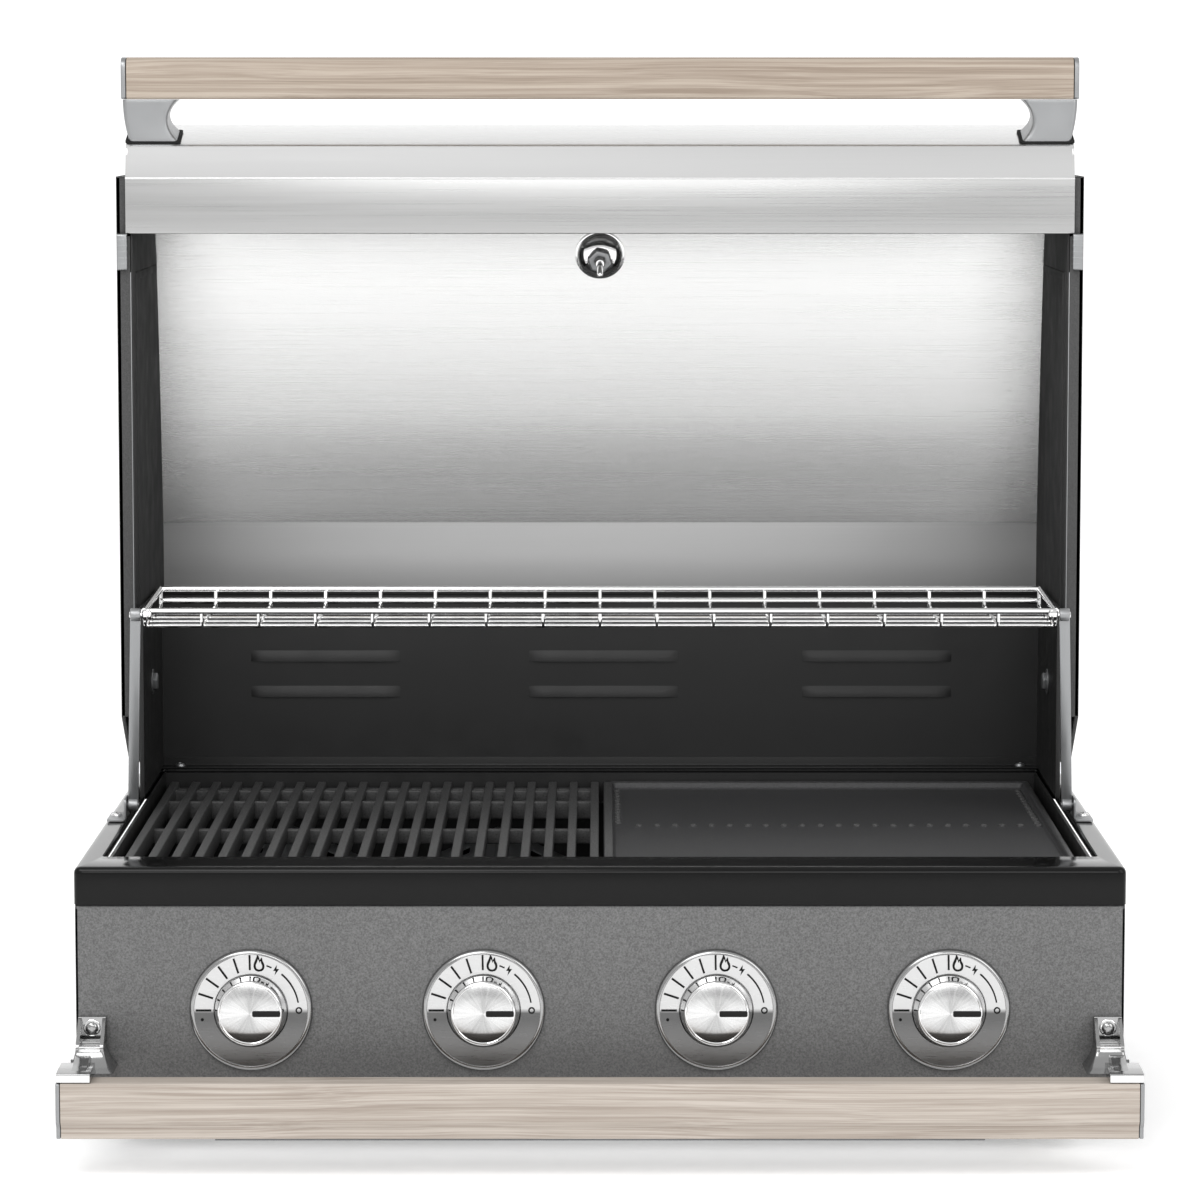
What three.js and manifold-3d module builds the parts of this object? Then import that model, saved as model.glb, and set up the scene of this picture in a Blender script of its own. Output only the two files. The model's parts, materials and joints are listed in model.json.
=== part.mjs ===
// Built-in four-burner gas barbecue with a rotating hood, as an assembly of separate pieces.
// Millimetres, +Z up, front towards -Y. Inside the assembly group, x runs to the right, y runs back
// from the face of the control fascia and z runs up from the top of the rim.
// The assembly group then moves the origin to the middle of the underside of the tray housing.
import * as THREE from "three";
import { mergeVertices } from "three/addons/utils/BufferGeometryUtils.js";
import Module from "manifold-3d";

const wasm = await Module();
wasm.setup();

// ---- Driving dimensions ----
const GAP = 0.3; // clearance between pieces that touch
const STEEL = 2; // general sheet thickness

const BODY_HALF_WIDTH = 400;
const BODY_DEPTH = 548;
const FIREBOX_BOTTOM = -195;
const HOUSING_BOTTOM = -226;

const RIM_HEIGHT = 29;
const RIM_SHEET = 3;
const RIM_FRONT_FLANGE = 52;
const RIM_SIDE_FLANGE = 18;
const RIM_REAR_FLANGE = 16;

const FASCIA_HEIGHT = 135;
const FASCIA_RETURN = 40;
const KNOB_PITCH = 177.5;
const KNOB_HEIGHT = -110;
const BURNER_COUNT = 4;

const BEZEL_RADIUS = 47;
const KNOB_RADIUS = 27.2;
const KNOB_FACE_RADIUS = 24;

const HINGE_Y = 446;
const HINGE_Z = 87;
const HOOD_SHEET = 1.5;
const HOOD_SKIN_HALF = 396.5;
const HOOD_LIP_HALF = 392;
const HOOD_SIDE_SHEET = 3;
const HOOD_EDGE = 8; // height of the closed hood's side edges above the rim
const UPSTAND_HEIGHT = 156;

const HANDLE_HALF = 396;
const HANDLE_SIZE = 34.5;
const HANDLE_FRONT = -82; // closed hood
const HANDLE_LOW = 16;

const RACK_HALF = 366;
const RACK_FRONT = 220;
const RACK_REAR = 360;
const RACK_TOP = 172;
const RACK_FLOOR = 159;
const RACK_CROSS_WIRES = 15;
const RACK_FLOOR_WIRES = 4;

const GRATE_TOP = -10;
const GRATE_FRONT = 58;
const GRATE_REAR = 525;
const GRATE_HALF = 373;
const GRILL_BARS = 21;

const RAIL_HALF = 408;
const RAIL_TOP = -152;
const RAIL_HEIGHT = 43;
const RAIL_FRONT = -75;
const RAIL_DEPTH = 26;

// ---- Finishes ----
const finish = (color, roughness, metalness) =>
  new THREE.MeshStandardMaterial({ color, roughness, metalness });
const FINISH = {
  enamel: finish(0x141414, 0.18, 0.1),
  fascia: finish(0x6c6c6c, 0.5, 0.4),
  galvanised: finish(0x9a9c9e, 0.45, 0.9),
  brushed: finish(0xcfd0d0, 0.3, 1.0),
  charcoal: finish(0x454545, 0.5, 0.3),
  chrome: finish(0xe6e6e6, 0.08, 1.0),
  iron: finish(0x2b2b2b, 0.7, 0.3),
  brass: finish(0xb59a5a, 0.35, 1.0),
  plastic: finish(0x1b1b1b, 0.5, 0.0),
  wood: finish(0xbba48e, 0.6, 0.0),
  silver: finish(0xbfc1c4, 0.35, 0.8),
};

// ---- Solids ----
const toSolid = (geometry) => {
  const bare = geometry.clone();
  bare.deleteAttribute("normal");
  bare.deleteAttribute("uv");
  const merged = mergeVertices(bare, 1e-3);
  return new wasm.Manifold(
    new wasm.Mesh({
      numProp: 3,
      vertProperties: new Float32Array(merged.attributes.position.array),
      triVerts: new Uint32Array(merged.index.array),
    }),
  );
};

const union = (solids) => solids.reduce((whole, next) => whole.add(next));
const cut = (solid, tools) => tools.reduce((whole, tool) => whole.subtract(tool), solid);

const toMesh = (name, solid, material) => {
  const { numProp, vertProperties, triVerts } = solid.getMesh();
  const positions = new Float32Array((vertProperties.length / numProp) * 3);
  for (let i = 0; i < positions.length / 3; i++)
    positions.set(vertProperties.subarray(i * numProp, i * numProp + 3), i * 3);
  const geometry = new THREE.BufferGeometry()
    .setAttribute("position", new THREE.BufferAttribute(positions, 3))
    .setIndex(new THREE.BufferAttribute(triVerts, 1));
  geometry.computeVertexNormals();
  const mesh = new THREE.Mesh(geometry, material);
  mesh.name = name;
  return mesh;
};

// A box between two limits on each axis.
const box = ([x0, x1], [y0, y1], [z0, z1]) =>
  toSolid(
    new THREE.BoxGeometry(x1 - x0, y1 - y0, z1 - z0).translate(
      (x0 + x1) / 2,
      (y0 + y1) / 2,
      (z0 + z1) / 2,
    ),
  );

// A round bar between two points.
const rod = (from, to, radius, sides) => {
  const a = new THREE.Vector3(...from);
  const b = new THREE.Vector3(...to);
  const along = b.clone().sub(a);
  const turn = new THREE.Quaternion().setFromUnitVectors(
    new THREE.Vector3(0, 1, 0),
    along.clone().normalize(),
  );
  return toSolid(
    new THREE.CylinderGeometry(radius, radius, along.length(), sides)
      .applyQuaternion(turn)
      .translate(...a.add(b).multiplyScalar(0.5)),
  );
};

// A turned piece about an axis through the point, from [radius, distance] pairs.
const turned = (profile, at, direction, sides) => {
  const points = profile.map(([radius, distance]) => new THREE.Vector2(radius, distance));
  const turn = new THREE.Quaternion().setFromUnitVectors(
    new THREE.Vector3(0, 1, 0),
    new THREE.Vector3(...direction).normalize(),
  );
  const geometry = new THREE.LatheGeometry(points, sides).applyQuaternion(turn).translate(...at);
  return toSolid(geometry);
};

// A [y, z] outline extruded along X between two limits.
const prismX = (outline, [x0, x1]) => {
  const shape = new THREE.Shape(outline.map(([y, z]) => new THREE.Vector2(y, z)));
  const geometry = new THREE.ExtrudeGeometry(shape, { depth: x1 - x0, bevelEnabled: false });
  geometry.applyMatrix4(
    new THREE.Matrix4().set(0, 0, 1, x0, 1, 0, 0, 0, 0, 1, 0, 0, 0, 0, 0, 1),
  );
  return toSolid(geometry);
};

// An [x, y] outline extruded along Z between two limits.
const prismZ = (outline, [z0, z1]) => {
  const shape = new THREE.Shape(outline.map(([x, y]) => new THREE.Vector2(x, y)));
  const geometry = new THREE.ExtrudeGeometry(shape, { depth: z1 - z0, bevelEnabled: false });
  return toSolid(geometry.translate(0, 0, z0));
};

// An [x, z] outline extruded along Y between two limits.
const prismY = (outline, [y0, y1]) => {
  const shape = new THREE.Shape(outline.map(([x, z]) => new THREE.Vector2(x, z)));
  const geometry = new THREE.ExtrudeGeometry(shape, { depth: y1 - y0, bevelEnabled: false });
  geometry.applyMatrix4(
    new THREE.Matrix4().set(1, 0, 0, 0, 0, 0, -1, y1, 0, 1, 0, 0, 0, 0, 0, 1),
  );
  return toSolid(geometry);
};

// The closed outline of a folded sheet, from its outer line and its thickness to the right of it.
const sheetOutline = (line, thickness) => {
  const points = line.map(([a, b]) => new THREE.Vector2(a, b));
  const side = (p, q) => new THREE.Vector2(q.y - p.y, p.x - q.x).normalize();
  const inner = points.map((point, i) => {
    const before = i ? side(points[i - 1], point) : side(point, points[i + 1]);
    const after = i < points.length - 1 ? side(point, points[i + 1]) : before;
    const middle = before.clone().add(after).normalize();
    return point.clone().addScaledVector(middle, thickness / middle.dot(after));
  });
  return [...points, ...inner.reverse()].map(({ x, y }) => [x, y]);
};

const SIDES = { left: -1, right: 1 };
const knobX = (index) => (index - (BURNER_COUNT - 1) / 2) * KNOB_PITCH;
const stations = (count, first, last) =>
  Array.from({ length: count }, (_, i) => first + ((last - first) * i) / (count - 1));

// ---- Body: firebox, rim, fascia ----
const FIREBOX_HALF = 380;
const FIREBOX_FRONT = 54;
const FIREBOX_REAR = 530;
const LEDGE = 10;
const BURNER_RADIUS = 12;
const TAMER_LEDGE_TOP = -80;
const GRATE_THICK = 18;

function makeFirebox() {
  const outer = box(
    [-FIREBOX_HALF, FIREBOX_HALF],
    [FIREBOX_FRONT, FIREBOX_REAR],
    [FIREBOX_BOTTOM, -RIM_SHEET - GAP],
  );
  const inner = box(
    [-FIREBOX_HALF + STEEL, FIREBOX_HALF - STEEL],
    [FIREBOX_FRONT + STEEL, FIREBOX_REAR - STEEL],
    [FIREBOX_BOTTOM + STEEL, 1],
  );
  const hangerTop = -RIM_HEIGHT - GAP;
  const hanger = cut(
    box([-397, 397], [FIREBOX_FRONT, 545], [hangerTop - STEEL, hangerTop]),
    [box([-FIREBOX_HALF + 1, FIREBOX_HALF - 1], [FIREBOX_FRONT - 1, FIREBOX_REAR - 1], [-60, 0])],
  );
  const ledgeAt = (top, y0) =>
    box([-FIREBOX_HALF + 1, FIREBOX_HALF - 1], [y0, y0 + LEDGE + 1], [top - STEEL, top]);
  const ledges = [GRATE_TOP - GRATE_THICK - GAP, TAMER_LEDGE_TOP].flatMap((top) => [
    ledgeAt(top, FIREBOX_FRONT + 1),
    ledgeAt(top, FIREBOX_REAR - LEDGE - 2),
  ]);
  const drain = box([-250, 250], [150, 450], [FIREBOX_BOTTOM - 1, FIREBOX_BOTTOM + STEEL + 1]);
  const burnerHoles = stations(BURNER_COUNT, knobX(0), knobX(BURNER_COUNT - 1)).map((x) =>
    rod([x, FIREBOX_FRONT - 5, KNOB_HEIGHT], [x, FIREBOX_FRONT + 5, KNOB_HEIGHT], BURNER_RADIUS + 0.6, 16),
  );
  const shell = union([cut(outer, [inner]), hanger, ...ledges]);
  return toMesh("firebox", cut(shell, [drain, ...burnerHoles]), FINISH.galvanised);
}

function makeRim() {
  const half = BODY_HALF_WIDTH + 1;
  const front = -1.5;
  const corner = 6;
  const outline = (inset) => {
    const shape = new THREE.Shape();
    const [x, y0, y1] = [half - inset, front + inset, BODY_DEPTH - inset];
    shape.moveTo(-x + corner, y0);
    shape.lineTo(x - corner, y0);
    shape.absarc(x - corner, y0 + corner, corner, -Math.PI / 2, 0);
    shape.lineTo(x, y1);
    shape.lineTo(-x, y1);
    shape.lineTo(-x, y0 + corner);
    shape.absarc(-x + corner, y0 + corner, corner, Math.PI, 1.5 * Math.PI);
    return shape.getPoints(4).map((p) => [p.x, p.y]);
  };
  const round = 5;
  const layers = [
    prismZ(outline(0), [-RIM_HEIGHT, -round]),
    prismZ(outline(0.4), [-round - 0.01, -round + 1.6]),
    prismZ(outline(1.4), [-round + 1.5, -1.4]),
    prismZ(outline(3), [-1.5, 0]),
  ];
  const under = box(
    [-half + RIM_SHEET, half - RIM_SHEET],
    [front + RIM_SHEET, BODY_DEPTH - RIM_SHEET],
    [-RIM_HEIGHT - 1, -RIM_SHEET],
  );
  const opening = box(
    [-BODY_HALF_WIDTH + RIM_SIDE_FLANGE, BODY_HALF_WIDTH - RIM_SIDE_FLANGE],
    [RIM_FRONT_FLANGE, BODY_DEPTH - RIM_REAR_FLANGE],
    [-RIM_HEIGHT, 1],
  );
  return toMesh("top_rim", cut(union(layers), [under, opening]), FINISH.enamel);
}

function makeFascia() {
  const top = -RIM_HEIGHT - GAP;
  const bottom = top - FASCIA_HEIGHT;
  const outer = box([-BODY_HALF_WIDTH, BODY_HALF_WIDTH], [0, FASCIA_RETURN], [bottom, top]);
  const inner = box(
    [-BODY_HALF_WIDTH + STEEL, BODY_HALF_WIDTH - STEEL],
    [STEEL, FASCIA_RETURN + 1],
    [bottom + STEEL, top + 1],
  );
  const stemHoles = stations(BURNER_COUNT, knobX(0), knobX(BURNER_COUNT - 1)).map((x) =>
    rod([x, -5, KNOB_HEIGHT], [x, 5, KNOB_HEIGHT], 9, 20),
  );
  const inletHole = rod([340, 24, bottom - 5], [340, 24, bottom + 5], 12, 20);
  return toMesh("control_fascia", cut(outer, [inner, ...stemHoles, inletHole]), FINISH.fascia);
}

// ---- Rear upstand with its two side cheeks, folded from one sheet ----
const CHEEK_FACE = 383.5;
const CHEEK_FRONT = 352;

function makeUpstand() {
  const backFace = BODY_DEPTH - 6;
  const back = box([-CHEEK_FACE, CHEEK_FACE], [backFace - STEEL, backFace], [GAP, UPSTAND_HEIGHT]);
  const cheeks = Object.values(SIDES).map((side) => {
    const x = [side * CHEEK_FACE, side * (CHEEK_FACE - STEEL)].sort((a, b) => a - b);
    return prismX(
      [
        [CHEEK_FRONT, GAP],
        [backFace, GAP],
        [backFace, UPSTAND_HEIGHT],
        [CHEEK_FRONT + 6, UPSTAND_HEIGHT + 4],
        [CHEEK_FRONT, UPSTAND_HEIGHT],
      ],
      x,
    );
  });
  const louvres = [-239, 3, 241].flatMap((x) =>
    [96, 65].map((z) => box([x - 65, x + 65], [backFace - 10, backFace + 5], [z - 3, z + 3])),
  );
  const hingeHoles = rod([-390, HINGE_Y, HINGE_Z], [390, HINGE_Y, HINGE_Z], 5.3, 16);
  return toMesh("rear_upstand", cut(union([back, ...cheeks]), [...louvres, hingeHoles]), FINISH.enamel);
}

function makeHingePin(name, side) {
  const head = rod([side * 380.9, HINGE_Y, HINGE_Z], [side * 376.5, HINGE_Y, HINGE_Z], 8, 6);
  const shank = rod([side * 378, HINGE_Y, HINGE_Z], [side * 396.6, HINGE_Y, HINGE_Z], 5, 16);
  return toMesh("hinge_pin_" + name, union([head, shank]), FINISH.silver);
}

// ---- Gas train ----
const BURNER_END = FIREBOX_REAR - STEEL - 0.5;

function makeBurner(index) {
  const profile = [
    [10, 0],
    [BURNER_RADIUS, 0],
    [BURNER_RADIUS, 440],
    [4, 446],
    [4, BURNER_END - 46],
    [0, BURNER_END - 46],
    [0, 436],
    [10, 432],
    [10, 0],
  ];
  const tube = turned(profile, [knobX(index), 46, KNOB_HEIGHT], [0, 1, 0], 16);
  return toMesh("burner_" + (index + 1), tube, FINISH.galvanised);
}

function makeFlameTamer(index) {
  const top = -50;
  const foot = TAMER_LEDGE_TOP + GAP;
  const half = 62;
  const line = [
    [-half, foot + 1.5],
    [0, top],
    [half, foot + 1.5],
  ];
  const vents = stations(6, 120, 464).flatMap((y) =>
    [-1, 1].map((side) => box([side * 31 - 8, side * 31 + 8], [y - 18, y + 18], [-100, 0])),
  );
  const tent = prismY(sheetOutline(line, 1.2), [FIREBOX_FRONT + 4, FIREBOX_REAR - 4]);
  const placed = cut(tent, vents).translate([knobX(index), 0, 0]);
  return toMesh("flame_tamer_" + (index + 1), placed, FINISH.galvanised);
}

const VALVE_HALF = 11;
const VALVE_FRONT = 14;
const VALVE_REAR = 38;
const MANIFOLD_Y = 26;
const MANIFOLD_Z = -134;
const MANIFOLD_RADIUS = 7;

function makeValve(index) {
  const x = knobX(index);
  const block = box(
    [x - VALVE_HALF, x + VALVE_HALF],
    [VALVE_FRONT, VALVE_REAR],
    [KNOB_HEIGHT - VALVE_HALF, KNOB_HEIGHT + VALVE_HALF],
  );
  const boss = rod([x, 6, KNOB_HEIGHT], [x, VALVE_FRONT + 1, KNOB_HEIGHT], 8, 16);
  const nozzle = rod([x, VALVE_REAR - 1, KNOB_HEIGHT], [x, 50, KNOB_HEIGHT], 4, 10);
  const bore = rod([x, 5, KNOB_HEIGHT], [x, 20, KNOB_HEIGHT], 4.4, 16);
  return toMesh("gas_valve_" + (index + 1), cut(union([block, boss, nozzle]), [bore]), FINISH.brass);
}

function makeManifold() {
  const first = knobX(0) - 30;
  const last = 340;
  const main = [last + MANIFOLD_RADIUS, MANIFOLD_Y, MANIFOLD_Z];
  const tube = rod([first, MANIFOLD_Y, MANIFOLD_Z], main, MANIFOLD_RADIUS, 12);
  const risers = stations(BURNER_COUNT, knobX(0), knobX(BURNER_COUNT - 1)).map((x) =>
    rod([x, MANIFOLD_Y, MANIFOLD_Z], [x, MANIFOLD_Y, KNOB_HEIGHT - VALVE_HALF - GAP], 5, 10),
  );
  const drop = rod([last, MANIFOLD_Y, MANIFOLD_Z], [last, MANIFOLD_Y, -160], MANIFOLD_RADIUS, 12);
  return toMesh("gas_manifold", union([tube, drop, ...risers]), FINISH.silver);
}

function makeGasInlet() {
  const profile = [
    [0, 0],
    [9.5, 0],
    [11, 1.5],
    [11, 16],
    [7.5, 17],
    [7.5, 40],
    [5, 40],
    [5, 20],
    [0, 20],
  ];
  const fitting = turned(profile, [340, MANIFOLD_Y - 2, -160 - GAP], [0, 0, -1], 6);
  return toMesh("gas_inlet", fitting, FINISH.brass);
}

function makeIgnition() {
  const body = box([-32, 32], [8, 42], [-84, -46]);
  const terminals = stations(4, -21, 21).map((x) => rod([x, 25, -85], [x, 25, -93], 3, 8));
  const posts = stations(4, -21, 21).map((x) => box([x - 5, x + 5], [20, 30], [-87, -83]));
  return toMesh("ignition_module", union([body, ...posts, ...terminals]), FINISH.plastic);
}

// ---- Controls ----
function makeBezel(index) {
  const profile = [
    [12, GAP],
    [BEZEL_RADIUS, GAP],
    [BEZEL_RADIUS, 3.2],
    [45.6, 4.6],
    [28.2, 4.6],
    [27.8, 1.8],
    [12, 1.8],
    [12, GAP],
  ];
  const ring = turned(profile, [knobX(index), 0, KNOB_HEIGHT], [0, -1, 0], 28);
  return toMesh("bezel_" + (index + 1), ring, FINISH.chrome);
}

function makeKnobStem(index) {
  const x = knobX(index);
  const stem = rod([x, 13, KNOB_HEIGHT], [x, -12, KNOB_HEIGHT], 4, 12);
  const flat = box([x - 5, x + 5], [-13, -4], [KNOB_HEIGHT + 2.6, KNOB_HEIGHT + 6]);
  return toMesh("knob_stem_" + (index + 1), cut(stem, [flat]), FINISH.silver);
}

function makeKnob(index) {
  const x = knobX(index);
  const back = 5.4;
  const face = 18;
  const profile = [
    [0, back],
    [KNOB_RADIUS, back],
    [KNOB_RADIUS, 8.5],
    [KNOB_FACE_RADIUS + 0.8, face - 1],
    [KNOB_FACE_RADIUS, face],
    [0, face],
  ];
  const body = turned(profile, [x, 0, KNOB_HEIGHT], [0, -1, 0], 20);
  const bore = rod([x, -back + 1, KNOB_HEIGHT], [x, -12.4, KNOB_HEIGHT], 4.4, 12);
  const pointer = box(
    [x + 2, x + KNOB_FACE_RADIUS - 0.5],
    [-face - 0.8, -face + 1],
    [KNOB_HEIGHT - 2.2, KNOB_HEIGHT + 2.2],
  );
  return toMesh("knob_" + (index + 1), cut(union([body, pointer]), [bore]), FINISH.brushed);
}

// ---- Cooking surfaces ----
function makeGrill() {
  const low = GRATE_TOP - GRATE_THICK;
  const bars = stations(GRILL_BARS, -GRATE_HALF + 3.5, -4.5).map((x) =>
    box([x - 3.5, x + 3.5], [GRATE_FRONT, GRATE_REAR], [low + 2, GRATE_TOP]),
  );
  const ties = [
    [GRATE_FRONT, GRATE_FRONT + 8],
    [286, 292],
    [GRATE_REAR - 14, GRATE_REAR - 6],
  ].map((y) => box([-GRATE_HALF, -1], y, [low, GRATE_TOP - 6]));
  return toMesh("cast_iron_grill", union([...bars, ...ties]), FINISH.iron);
}

function makeHotplate() {
  const [left, right] = [3, GRATE_HALF];
  const low = GRATE_TOP - GRATE_THICK;
  const plate = box([left, right], [GRATE_FRONT, GRATE_REAR], [low, GRATE_TOP]);
  const well = box([left + 8, right - 6], [GRATE_FRONT + 8, GRATE_REAR - 9], [GRATE_TOP - 6, 0]);
  const underside = box([left + 8, right - 8], [GRATE_FRONT + 8, GRATE_REAR - 8], [low - 1, low + 6]);
  const greaseSlot = box([left + 20, left + 80], [GRATE_FRONT + 12, GRATE_FRONT + 26], [low - 2, 0]);
  return toMesh("hotplate", cut(plate, [well, underside, greaseSlot]), FINISH.iron);
}

// ---- Drip tray and housing ----
const HOUSING_HALF = 300;
const HOUSING_FRONT = 64;
const HOUSING_REAR = 524;

function makeTrayHousing() {
  const outer = box(
    [-HOUSING_HALF, HOUSING_HALF],
    [HOUSING_FRONT, HOUSING_REAR],
    [HOUSING_BOTTOM, FIREBOX_BOTTOM - GAP],
  );
  const inner = box(
    [-HOUSING_HALF + STEEL, HOUSING_HALF - STEEL],
    [HOUSING_FRONT - 1, HOUSING_REAR - STEEL],
    [HOUSING_BOTTOM + STEEL, 0],
  );
  return toMesh("tray_housing", cut(outer, [inner]), FINISH.galvanised);
}

function makeDripTray() {
  const low = HOUSING_BOTTOM + STEEL + GAP;
  const high = FIREBOX_BOTTOM - 4;
  const wall = 1.5;
  const half = HOUSING_HALF - STEEL - 2;
  const pan = cut(box([-half, half], [HOUSING_FRONT - 2, HOUSING_REAR - 8], [low, high]), [
    box([-half + wall, half - wall], [HOUSING_FRONT - 2 + wall, HOUSING_REAR - 8 - wall], [low + wall, 0]),
  ]);
  const pull = box([-90, 90], [HOUSING_FRONT - 14, HOUSING_FRONT - 1], [high - 5, high - 3]);
  return toMesh("drip_tray", union([pan, pull]), FINISH.galvanised);
}

// ---- Front rail ----
function makeRail() {
  const [y0, y1] = [RAIL_FRONT, RAIL_FRONT + RAIL_DEPTH];
  const bottom = RAIL_TOP - RAIL_HEIGHT;
  const outline = [
    [y0, bottom + 13.5],
    [y0 + 4, bottom + 8.5],
    [y0 + 4, bottom + 1],
    [y0 + 5, bottom],
    [y1 - 2, bottom],
    [y1, bottom + 2],
    [y1, RAIL_TOP - 2],
    [y1 - 2, RAIL_TOP],
    [y0 + 3, RAIL_TOP],
    [y0, RAIL_TOP - 3],
  ];
  const capLength = 3;
  const half = RAIL_HALF - capLength - GAP;
  const cap = (side) => {
    const x = [side * (RAIL_HALF - capLength), side * RAIL_HALF].sort((a, b) => a - b);
    return prismX(outline, x);
  };
  return [
    toMesh("front_rail", prismX(outline, [-half, half]), FINISH.wood),
    toMesh("rail_end_cap_left", cap(SIDES.left), FINISH.silver),
    toMesh("rail_end_cap_right", cap(SIDES.right), FINISH.silver),
  ];
}

function makeRailBracket(name, side) {
  const span = (a, b) => [side * a, side * b].sort((p, q) => p - q);
  const seat = RAIL_TOP + GAP;
  const baseTop = -134;
  const back = box(span(377, 398), [-3.3, -GAP], [baseTop - 1, -115]);
  const flangeOutline = [
    [-GAP, -116],
    [-4, -116],
    [-26, baseTop - 1],
    [-GAP, baseTop - 1],
  ];
  const flanges = [span(377, 379.5), span(395.5, 398)].map((x) => prismX(flangeOutline, x));
  const baseOutline = [
    [side * 368, seat],
    [side * 402, seat],
    [side * 398, baseTop],
    [side * 377, baseTop],
  ];
  const base = prismY(baseOutline, [-40, -GAP]);
  const slope = prismX(
    [
      [-41, -144],
      [-24, -133],
      [-41, -133],
    ],
    span(360, 410),
  );
  const foot = box(span(382, 407.5), [-74.5, -36], [seat, -144.5]);
  const bolt = rod([side * 387.5, -GAP - 1, -124], [side * 387.5, -7, -124], 6, 6);
  return toMesh(
    "rail_bracket_" + name,
    union([cut(base, [slope]), back, ...flanges, foot, bolt]),
    FINISH.chrome,
  );
}

// ---- Warming rack ----
const RACK_PIN_Z = RACK_TOP - 3;

function makeRack() {
  const railRadius = 2.5;
  const wireRadius = 1.6;
  const wire = (from, to) => rod(from, to, wireRadius, 4);
  const rail = (from, to) => rod(from, to, railRadius, 6);
  const rearTop = RACK_TOP + 3;
  const rails = [
    rail([-RACK_HALF, RACK_FRONT, RACK_TOP], [RACK_HALF, RACK_FRONT, RACK_TOP]),
    rail([-RACK_HALF, RACK_REAR, rearTop], [RACK_HALF, RACK_REAR, rearTop]),
    rail([-RACK_HALF, RACK_REAR - 2, RACK_FLOOR + 6.5], [RACK_HALF, RACK_REAR - 2, RACK_FLOOR + 6.5]),
  ];
  const ends = Object.values(SIDES).flatMap((side) => [
    rail([side * RACK_HALF, RACK_FRONT - 2, RACK_TOP], [side * RACK_HALF, RACK_REAR + 2, rearTop]),
    rail([side * RACK_HALF, RACK_REAR - 2, RACK_TOP + 4], [side * RACK_HALF, RACK_REAR - 2, RACK_FLOOR]),
    rod([side * (RACK_HALF - 6), RACK_FRONT, RACK_PIN_Z], [side * 378, RACK_FRONT, RACK_PIN_Z], 2.6, 8),
    rod([side * (RACK_HALF - 6), RACK_FRONT, RACK_PIN_Z], [side * (RACK_HALF + 1.5), RACK_FRONT, RACK_PIN_Z], 4.8, 10),
  ]);
  const floorWires = stations(RACK_FLOOR_WIRES, RACK_FRONT + 10, RACK_REAR - 16).map((y) =>
    wire([-RACK_HALF + 1, y, RACK_FLOOR], [RACK_HALF - 1, y, RACK_FLOOR]),
  );
  const across = stations(RACK_CROSS_WIRES + 2, -RACK_HALF + 0.6, RACK_HALF - 0.6);
  const crossWires = across.flatMap((x) => [
    wire([x, RACK_FRONT, RACK_TOP], [x, RACK_FRONT + 2, RACK_FLOOR + 0.4]),
    wire([x, RACK_FRONT + 1, RACK_FLOOR + 1.8], [x, RACK_REAR - 1, RACK_FLOOR + 1.8]),
    wire([x, RACK_REAR - 3, RACK_FLOOR + 0.4], [x, RACK_REAR, rearTop]),
  ]);
  return toMesh("warming_rack", union([...rails, ...ends, ...floorWires, ...crossWires]), FINISH.chrome);
}

const LEG_TOP_X = 373;
const LEG_FOOT_X = 379;
const LEG_FOOT_Y = 246;
const LEG_FOOT_Z = 11;

function makeRackLeg(name, side) {
  const strap = prismY(
    [
      [side * (LEG_TOP_X - 4.2), RACK_PIN_Z],
      [side * (LEG_TOP_X + 4.2), RACK_PIN_Z],
      [side * (LEG_FOOT_X + 4.2), LEG_FOOT_Z],
      [side * (LEG_FOOT_X - 4.2), LEG_FOOT_Z],
    ],
    [-1.5, 1.5],
  );
  const lean = (LEG_FOOT_Y - RACK_FRONT) / (RACK_PIN_Z - LEG_FOOT_Z);
  const leaned = strap.transform([1, 0, 0, 0, 0, 1, 0, 0, 0, -lean, 1, 0, 0, RACK_FRONT + lean * RACK_PIN_Z, 0, 1]);
  const eye = (x, y, z, radius) =>
    rod([side * (x - 4.2), y, z], [side * (x + 4.2), y, z], radius, 14);
  const eyes = [eye(LEG_TOP_X, RACK_FRONT, RACK_PIN_Z, 5.2), eye(LEG_FOOT_X, LEG_FOOT_Y, LEG_FOOT_Z, 5.2)];
  const bore = (x, y, z) => rod([side * (x - 9), y, z], [side * (x + 9), y, z], 3, 12);
  const bores = [bore(LEG_TOP_X, RACK_FRONT, RACK_PIN_Z), bore(LEG_FOOT_X, LEG_FOOT_Y, LEG_FOOT_Z)];
  return toMesh("rack_leg_" + name, cut(union([leaned, ...eyes]), bores), FINISH.silver);
}

function makeRackBracket(name, side) {
  const span = (a, b) => [side * a, side * b].sort((p, q) => p - q);
  const foot = box(span(383.8, 398.5), [222, 266], [GAP, GAP + 2]);
  const tab = box(span(383.8, 385.6), [234, 258], [GAP, 17.5]);
  const stud = rod([side * 384.5, LEG_FOOT_Y, LEG_FOOT_Z], [side * 374.2, LEG_FOOT_Y, LEG_FOOT_Z], 2.6, 10);
  const screw = turned(
    [
      [0, 0],
      [4.6, 0],
      [4.2, 1.8],
      [2.4, 2.8],
      [0, 2.8],
    ],
    [side * 392.5, 246, GAP + 1.5],
    [0, 0, 1],
    14,
  );
  return toMesh("rack_bracket_" + name, union([foot, tab, stud, screw]), FINISH.silver);
}

// ---- Hood, drawn closed and then turned about its hinge ----
const BULGE_STEPS = 9;
const ROOF_STEPS = 7;
const SKIRT_Y = 521;
const SKIRT_LOW = 192;
const ROOF_Z = 268;
const CREASE_Y = 326;

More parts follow.
